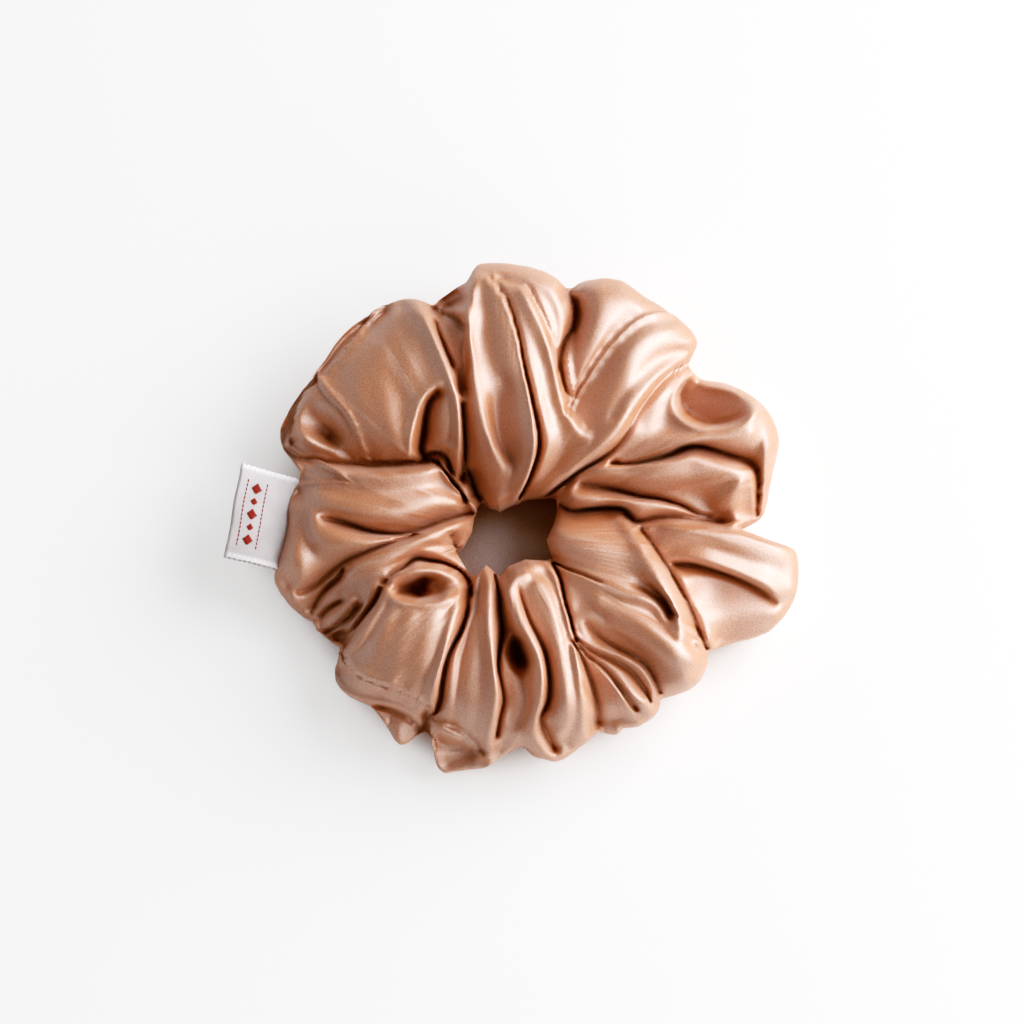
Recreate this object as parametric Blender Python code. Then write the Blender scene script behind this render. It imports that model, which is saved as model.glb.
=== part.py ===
"""Satin scrunchie: a wide fabric tube gathered on a ring of flat elastic, with a folded ribbon label.

Metres, +Z up. The origin is the centre of the elastic ring, on the plane the scrunchie rests on.
The ring stretches along X: the half at -X is held and the half at +X is pulled, so the tube and
the elastic are each built as two half rings that nearly meet at X = 0.
Sizes are in millimetres and directions in degrees, anticlockwise from +X seen from above.
"""

import math

import bmesh
import bpy
from mathutils import Vector

MM = 0.001

# ---- the two half rings: (first direction, shift along X) ----
HALF_GAP = 0.2               # each half ring stops this far from X = 0
HALF_TURN = 180.0
HELD_HALF = (90.0, -HALF_GAP)
PULLED_HALF = (-90.0, HALF_GAP)

# ---- fabric tube ----
SEAM_HEIGHT = 15.0           # middle of the tube, and of the lengthwise seam
CREST_HEIGHT = 34.0          # top of a gather
VALLEY_HEIGHT = 26.0         # top between two gathers
HOLE_RADIUS = 11.6           # hair opening, at the valleys
HOLE_SCALLOP = 0.8           # how much further inwards the crests reach
SIDE_POWER = 0.9             # the section is an ellipse with its cosine raised to this power
TOP_POWER = 0.85             # and its sine to this one
BOTTOM_SHARE = 0.955         # the lower half is cut flat at this share of its full depth
FABRIC_WALL = 0.9            # tube wall, its folds taken together
COVER_STEPS = 45             # steps along half the ring
CLOSING_SEAM_ANGLE = 142.0   # where the tube's two ends are joined
SEAM_GROOVE = 0.8            # depth of both seam grooves
GROOVE_HALF_WIDTH = 1.2      # of the closing groove
GROOVE_CLEARANCE = 6.5       # degrees kept free of other stations beside the closing groove

# Directions round the tube's section, from its outer side up over the top.
# The first three are the lengthwise groove: edge, bottom, edge.
LENGTHWISE_GROOVE_PHIS = [-3.5, 0.0, 3.5]
BODY_PHIS = [15.0 * k for k in range(1, 24)]
PHIS = LENGTHWISE_GROOVE_PHIS + BODY_PHIS

# Gathers, clockwise round the ring from +Y:
# direction of the crest, reach of the crest, reach of the valley after it, direction of that valley.
GATHERS = (
    (90.0, 54.85, 51.0, 73.0),
    (55.0, 56.5, 52.5, 38.0),
    (24.0, 58.5, 49.5, 3.0),
    (-14.0, 63.2, 51.0, -34.0),
    (-45.0, 54.5, 51.0, -54.0),
    (-62.0, 53.0, 50.0, -71.0),
    (-80.0, 53.6, 50.3, -90.0),
    (-102.0, 56.1, 51.0, -113.0),
    (-126.0, 54.0, 47.5, -143.0),
    (-155.0, 50.5, 49.4, -168.0),
    (-178.0, 49.2, 48.0, -192.0),
    (-204.0, 53.5, 52.0, -216.0),
    (-232.0, 55.2, 50.0, -251.0),
)

# ---- elastic: it lies flat and low in the tube ----
ELASTIC_RADIUS = 32.0        # middle of its width
ELASTIC_WIDTH = 6.0
ELASTIC_THICKNESS = 1.0
ELASTIC_HEIGHT = 5.0         # middle of its thickness
ELASTIC_STEPS = 30           # steps along half the ring
ELASTIC_LAP = (129.0, 153.0)  # directions between which its two ends lie on each other
LAP_STEP = 0.3               # degrees on each side of a lap end, where the thickness changes
LAP_CLEARANCE = 1.0          # degrees kept free of other stations beside a lap end

# ---- threads ----
THREAD_RADIUS = 0.2
SEAM_THREAD_DEPTH = 0.3      # middle of a seam thread, below the tube's surface
JOINT_LIFT = 0.3             # gap between the lapped elastic and the stitches over it
JOINT_END_MARGIN = 3.0       # degrees from a lap end to the stitches
JOINT_SWING = 2.2            # how far the stitches swing to each side
JOINT_WAVES = 5
JOINT_WAVE_STEPS = 6

# ---- label ----
LABEL_HINGE = (-50.3, -0.6, 15.0)
LABEL_TIP_X = -61.35         # X of the free end's farthest corner, with the loop taken as flat
LABEL_WIDTH = 20.0
LABEL_PLY = 0.32
LABEL_LOOP = 1.15            # outside thickness of the folded label
LABEL_BASE = 0.35            # from the hinge to the start of the plies
LABEL_TURN = 10.0            # it points this far round from -X, towards +Y
LABEL_RISE = 12.0            # its free end is tilted up this far above level
LABEL_FOLD_STEPS = 6

# Sharp edges are those that turn more than this.
SHARP_ANGLE = 35.0
LABEL_SHARP_ANGLE = 40.0

# name: (base colour, roughness)
MATERIALS = {
    "satin": ((0.56, 0.33, 0.22, 1.0), 0.35),
    "elastic": ((0.86, 0.83, 0.78, 1.0), 0.8),
    "thread": ((0.50, 0.29, 0.19, 1.0), 0.6),
    "elastic_thread": ((0.88, 0.86, 0.82, 1.0), 0.6),
    "label": ((0.87, 0.85, 0.84, 1.0), 0.5),
}


# ---- scene helpers ----

def clear_scene():
    for obj in list(bpy.data.objects):
        bpy.data.objects.remove(obj, do_unlink=True)


def make_material(name, colour, roughness):
    mat = bpy.data.materials.new(name)
    mat.use_nodes = True
    shader = mat.node_tree.nodes["Principled BSDF"]
    shader.inputs["Base Color"].default_value = colour
    shader.inputs["Roughness"].default_value = roughness
    shader.inputs["Metallic"].default_value = 0.0
    return mat


def make_empty(name, position=(0.0, 0.0, 0.0)):
    empty = bpy.data.objects.new(name, None)
    bpy.context.scene.collection.objects.link(empty)
    empty.location = Vector(position) * MM
    return empty


def add_object(name, data, mat, parent):
    obj = bpy.data.objects.new(name, data)
    bpy.context.scene.collection.objects.link(obj)
    data.materials.append(mat)
    obj.parent = parent
    return obj


def add_solid(name, bm, mat, parent, sharp_angle=SHARP_ANGLE):
    """Turn a finished bmesh into a smooth-shaded object."""
    bmesh.ops.recalc_face_normals(bm, faces=bm.faces)
    mesh = bpy.data.meshes.new(name)
    bm.to_mesh(mesh)
    bm.free()
    mesh.shade_smooth()
    mesh.set_sharp_from_angle(angle=math.radians(sharp_angle))
    return add_object(name, mesh, mat, parent)


def loft(name, rings, mat, parent, around=False):
    """A skin over closed rings of points: capped flat, or joined end to start if it goes around."""
    bm = bmesh.new()
    loops = [[bm.verts.new(point) for point in ring] for ring in rings]
    pairs = list(zip(loops, loops[1:]))
    if around:
        pairs.append((loops[-1], loops[0]))
    else:
        bm.faces.new(loops[0])
        bm.faces.new(loops[-1])
    for one, two in pairs:
        for k in range(len(one)):
            after = (k + 1) % len(one)
            bm.faces.new((one[k], one[after], two[after], two[k]))
    return add_solid(name, bm, mat, parent)


def thread(name, points, mat, parent):
    """A sewing thread along points, as a bevelled curve with filled ends."""
    curve = bpy.data.curves.new(name, "CURVE")
    curve.dimensions = "3D"
    curve.bevel_depth = THREAD_RADIUS * MM
    curve.bevel_resolution = 0
    curve.use_fill_caps = True
    spline = curve.splines.new("POLY")
    spline.points.add(len(points) - 1)
    for slot, point in zip(spline.points, points):
        slot.co = (*point, 1.0)
    return add_object(name, curve, mat, parent)


# ---- ring geometry ----

def ring_point(angle, radius, z, shift):
    """Millimetres round the ring, shifted along X, to a point in metres."""
    turn = math.radians(angle)
    return Vector((radius * math.cos(turn) + shift, radius * math.sin(turn), z)) * MM


def half_ring_angles(start, steps):
    return [start + HALF_TURN * k / steps for k in range(steps + 1)]


def outline_knots():
    """(angle, reach, crest share) for each crest and valley, with angles falling from 90 to -270."""
    knots = []
    for crest_angle, crest_reach, valley_reach, valley_angle in GATHERS:
        knots.append((crest_angle, crest_reach, 1.0))
        knots.append((valley_angle, valley_reach, 0.0))
    first_angle, first_reach, first_share = knots[0]
    knots.append((first_angle - 360.0, first_reach, first_share))
    return knots


KNOTS = outline_knots()


def gather_at(angle):
    """(reach, crest share) at an angle, eased with a cosine between crests and valleys."""
    last_angle = KNOTS[-1][0]
    angle = (angle - last_angle) % 360.0 + last_angle
    for (angle0, reach0, share0), (angle1, reach1, share1) in zip(KNOTS, KNOTS[1:]):
        if angle1 <= angle <= angle0:
            fraction = (angle0 - angle) / (angle0 - angle1)
            ease = (1 - math.cos(math.pi * fraction)) / 2
            return reach0 + (reach1 - reach0) * ease, share0 + (share1 - share0) * ease


def signed_power(value, power):
    return math.copysign(abs(value) ** power, value)


def tube_point(angle, phi, inset):
    """(radius, z) on the tube's section at an angle round the ring, inset from its surface."""
    reach, crest_share = gather_at(angle)
    inner = HOLE_RADIUS - HOLE_SCALLOP * crest_share
    half_width = (reach - inner) / 2
    across = signed_power(math.cos(math.radians(phi)), SIDE_POWER)
    up = signed_power(math.sin(math.radians(phi)), TOP_POWER)
    if up > 0:
        half_height = VALLEY_HEIGHT + (CREST_HEIGHT - VALLEY_HEIGHT) * crest_share - SEAM_HEIGHT
    else:
        half_height = SEAM_HEIGHT / BOTTOM_SHARE
    radius = (reach + inner) / 2 + (half_width - inset) * across
    z = SEAM_HEIGHT + (half_height - inset) * up
    return radius, max(z, inset)


# ---- pieces ----

def cover_rings(stations, depth, shift):
    """The cover's skin at a depth below its outside, with the seam grooves pressed in."""
    rings = []
    for angle, sideways, sunk in stations:
        ring = []
        for phi in PHIS:
            radius, z = tube_point(angle, phi, depth + sunk)
            turned = angle + math.degrees(sideways / radius)
            if phi == 0.0 and not sunk:
                radius -= SEAM_GROOVE
            ring.append(ring_point(turned, radius, z, shift))
        rings.append(ring)
    return rings


def cover_half(name, half, mat, parent, closing=None):
    """Half of the gathered tube, open at both ends, with a wall of fabric round a hollow."""
    start, shift = half
    angles = half_ring_angles(start, COVER_STEPS)
    if closing is not None:
        angles = [a for a in angles if abs(a - closing) > GROOVE_CLEARANCE]
    # Stations: angle of the section, its sideways offset, how far all of it is sunk.
    stations = [(angle, 0.0, 0.0) for angle in angles]
    if closing is not None:
        stations += [
            (closing, -GROOVE_HALF_WIDTH, 0.0),
            (closing, 0.0, SEAM_GROOVE),
            (closing, GROOVE_HALF_WIDTH, 0.0),
        ]
    stations.sort()
    outside = cover_rings(stations, 0.0, shift)
    inside = cover_rings(stations, FABRIC_WALL, shift)
    return loft(name, outside + inside[::-1], mat, parent, around=True)


def elastic_half(name, half, mat, parent, lap=()):
    """Half of the flat elastic. Where its ends are lapped it is two layers thick."""
    start, shift = half
    angles = half_ring_angles(start, ELASTIC_STEPS)
    for end in lap:
        angles = [a for a in angles if abs(a - end) > LAP_CLEARANCE]
        angles += [end - LAP_STEP, end + LAP_STEP]
    angles.sort()
    inner = ELASTIC_RADIUS - ELASTIC_WIDTH / 2
    outer = ELASTIC_RADIUS + ELASTIC_WIDTH / 2
    low = ELASTIC_HEIGHT - ELASTIC_THICKNESS / 2
    rings = []
    for angle in angles:
        layers = 2 if lap and lap[0] < angle < lap[1] else 1
        high = low + layers * ELASTIC_THICKNESS
        corners = ((inner, low), (outer, low), (outer, high), (inner, high))
        rings.append([ring_point(angle, radius, z, shift) for radius, z in corners])
    return loft(name, rings, mat, parent)


def lengthwise_thread(name, half, mat, parent):
    """The thread in the groove along the tube's outer side."""
    start, shift = half
    points = []
    for angle in half_ring_angles(start, COVER_STEPS):
        reach, _ = gather_at(angle)
        points.append(ring_point(angle, reach - SEAM_THREAD_DEPTH, SEAM_HEIGHT, shift))
    return thread(name, points, mat, parent)


def closing_thread(name, mat, parent):
    """The thread round the tube in the closing groove, stopping short of the lengthwise one."""
    points = []
    for phi in BODY_PHIS:
        radius, z = tube_point(CLOSING_SEAM_ANGLE, phi, SEAM_THREAD_DEPTH)
        points.append(ring_point(CLOSING_SEAM_ANGLE, radius, z, -HALF_GAP))
    return thread(name, points, mat, parent)


def elastic_joint_thread(name, mat, parent):
    """The wavy stitches over the top face of the elastic's lapped ends."""
    first = ELASTIC_LAP[0] + JOINT_END_MARGIN
    last = ELASTIC_LAP[1] - JOINT_END_MARGIN
    z = ELASTIC_HEIGHT + 1.5 * ELASTIC_THICKNESS + JOINT_LIFT + THREAD_RADIUS
    steps = JOINT_WAVES * JOINT_WAVE_STEPS
    points = []
    for k in range(steps + 1):
        fraction = k / steps
        swing = JOINT_SWING * math.sin(2 * math.pi * JOINT_WAVES * fraction)
        angle = first + (last - first) * fraction
        points.append(ring_point(angle, ELASTIC_RADIUS + swing, z, -HALF_GAP))
    return thread(name, points, mat, parent)


def label_length():
    """From the hinge to the free end, along the label."""
    turn = math.radians(LABEL_TURN)
    level = (LABEL_HINGE[0] - LABEL_TIP_X) / math.cos(turn) - LABEL_WIDTH / 2 * math.tan(turn)
    return level / math.cos(math.radians(LABEL_RISE))


def label_profile():
    """(distance from the hinge, height) round the side view of the folded ribbon."""
    half = LABEL_LOOP / 2
    fold_centre = label_length() - half

    def fold(radius):
        """A half circle from the top ply round the free end to the bottom ply."""
        turns = [math.radians(90 - 180 * k / LABEL_FOLD_STEPS) for k in range(LABEL_FOLD_STEPS + 1)]
        return [(fold_centre + radius * math.cos(t), radius * math.sin(t)) for t in turns]

    inner_half = half - LABEL_PLY
    outer = [(LABEL_BASE, half), *fold(half), (LABEL_BASE, -half)]
    inner = [(LABEL_BASE, inner_half), *fold(inner_half), (LABEL_BASE, -inner_half)]
    return outer + inner[::-1]


def label(name, mat, parent):
    """A ribbon folded into a flat loop: two plies that meet in a round fold at the free end."""
    bm = bmesh.new()
    side = -LABEL_WIDTH / 2 * MM
    verts = [bm.verts.new((-along * MM, side, height * MM)) for along, height in label_profile()]
    face = bm.faces.new(verts)
    extruded = bmesh.ops.extrude_face_region(bm, geom=[face])["geom"]
    far_verts = [item for item in extruded if isinstance(item, bmesh.types.BMVert)]
    bmesh.ops.translate(bm, verts=far_verts, vec=(0, LABEL_WIDTH * MM, 0))
    obj = add_solid(name, bm, mat, parent, LABEL_SHARP_ANGLE)
    obj.rotation_euler = (0.0, math.radians(LABEL_RISE), math.radians(-LABEL_TURN))
    return obj


def main():
    clear_scene()
    mats = {name: make_material(name, *look) for name, look in MATERIALS.items()}
    satin, elastic, sewing = mats["satin"], mats["elastic"], mats["thread"]

    held = make_empty("held_side")
    pulled = make_empty("pulled_side")
    flap = make_empty("label_flap", LABEL_HINGE)

    cover_half("fabric_cover_held_half", HELD_HALF, satin, held, CLOSING_SEAM_ANGLE)
    cover_half("fabric_cover_pulled_half", PULLED_HALF, satin, pulled)
    elastic_half("elastic_held_half", HELD_HALF, elastic, held, ELASTIC_LAP)
    elastic_half("elastic_pulled_half", PULLED_HALF, elastic, pulled)
    elastic_joint_thread("elastic_joint_stitches", mats["elastic_thread"], held)
    lengthwise_thread("lengthwise_seam_thread_held", HELD_HALF, sewing, held)
    lengthwise_thread("lengthwise_seam_thread_pulled", PULLED_HALF, sewing, pulled)
    closing_thread("closing_seam_thread", sewing, held)
    label("label", mats["label"], flap)


main()
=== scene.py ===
"""A satin scrunchie lying on a white floor: gathered cover, seams, elastic inside and a folded label.

The ring lies level round the Z axis, with the floor at z = 0 and the label on its -X side.
Lengths are in millimetres until a mesh or the stage is made in metres.
"""

import math

import bmesh
import bpy
import numpy as np
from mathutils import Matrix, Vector, kdtree


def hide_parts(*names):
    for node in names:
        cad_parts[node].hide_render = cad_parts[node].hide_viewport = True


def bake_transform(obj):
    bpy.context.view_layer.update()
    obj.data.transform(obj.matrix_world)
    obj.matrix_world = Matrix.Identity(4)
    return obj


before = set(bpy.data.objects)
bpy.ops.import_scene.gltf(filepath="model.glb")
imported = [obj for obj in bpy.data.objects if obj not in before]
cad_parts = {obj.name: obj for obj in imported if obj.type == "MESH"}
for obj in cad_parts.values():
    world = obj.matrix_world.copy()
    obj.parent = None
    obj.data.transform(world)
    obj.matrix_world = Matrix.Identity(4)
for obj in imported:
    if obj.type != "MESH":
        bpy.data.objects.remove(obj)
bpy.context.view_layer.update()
MM = 0.001

# The folds are drawn on a plane square to the line of sight, with its origin under the ring's
# centre: "right" is +X, "up" leans from +Y towards +Z.
VIEW_ANGLE = math.radians(75.0)      # the line of sight, from level
VIEW_SIN, VIEW_COS = math.sin(VIEW_ANGLE), math.cos(VIEW_ANGLE)
VIEW_DISTANCE = 1250.0               # from the ring's centre to the eye

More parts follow.
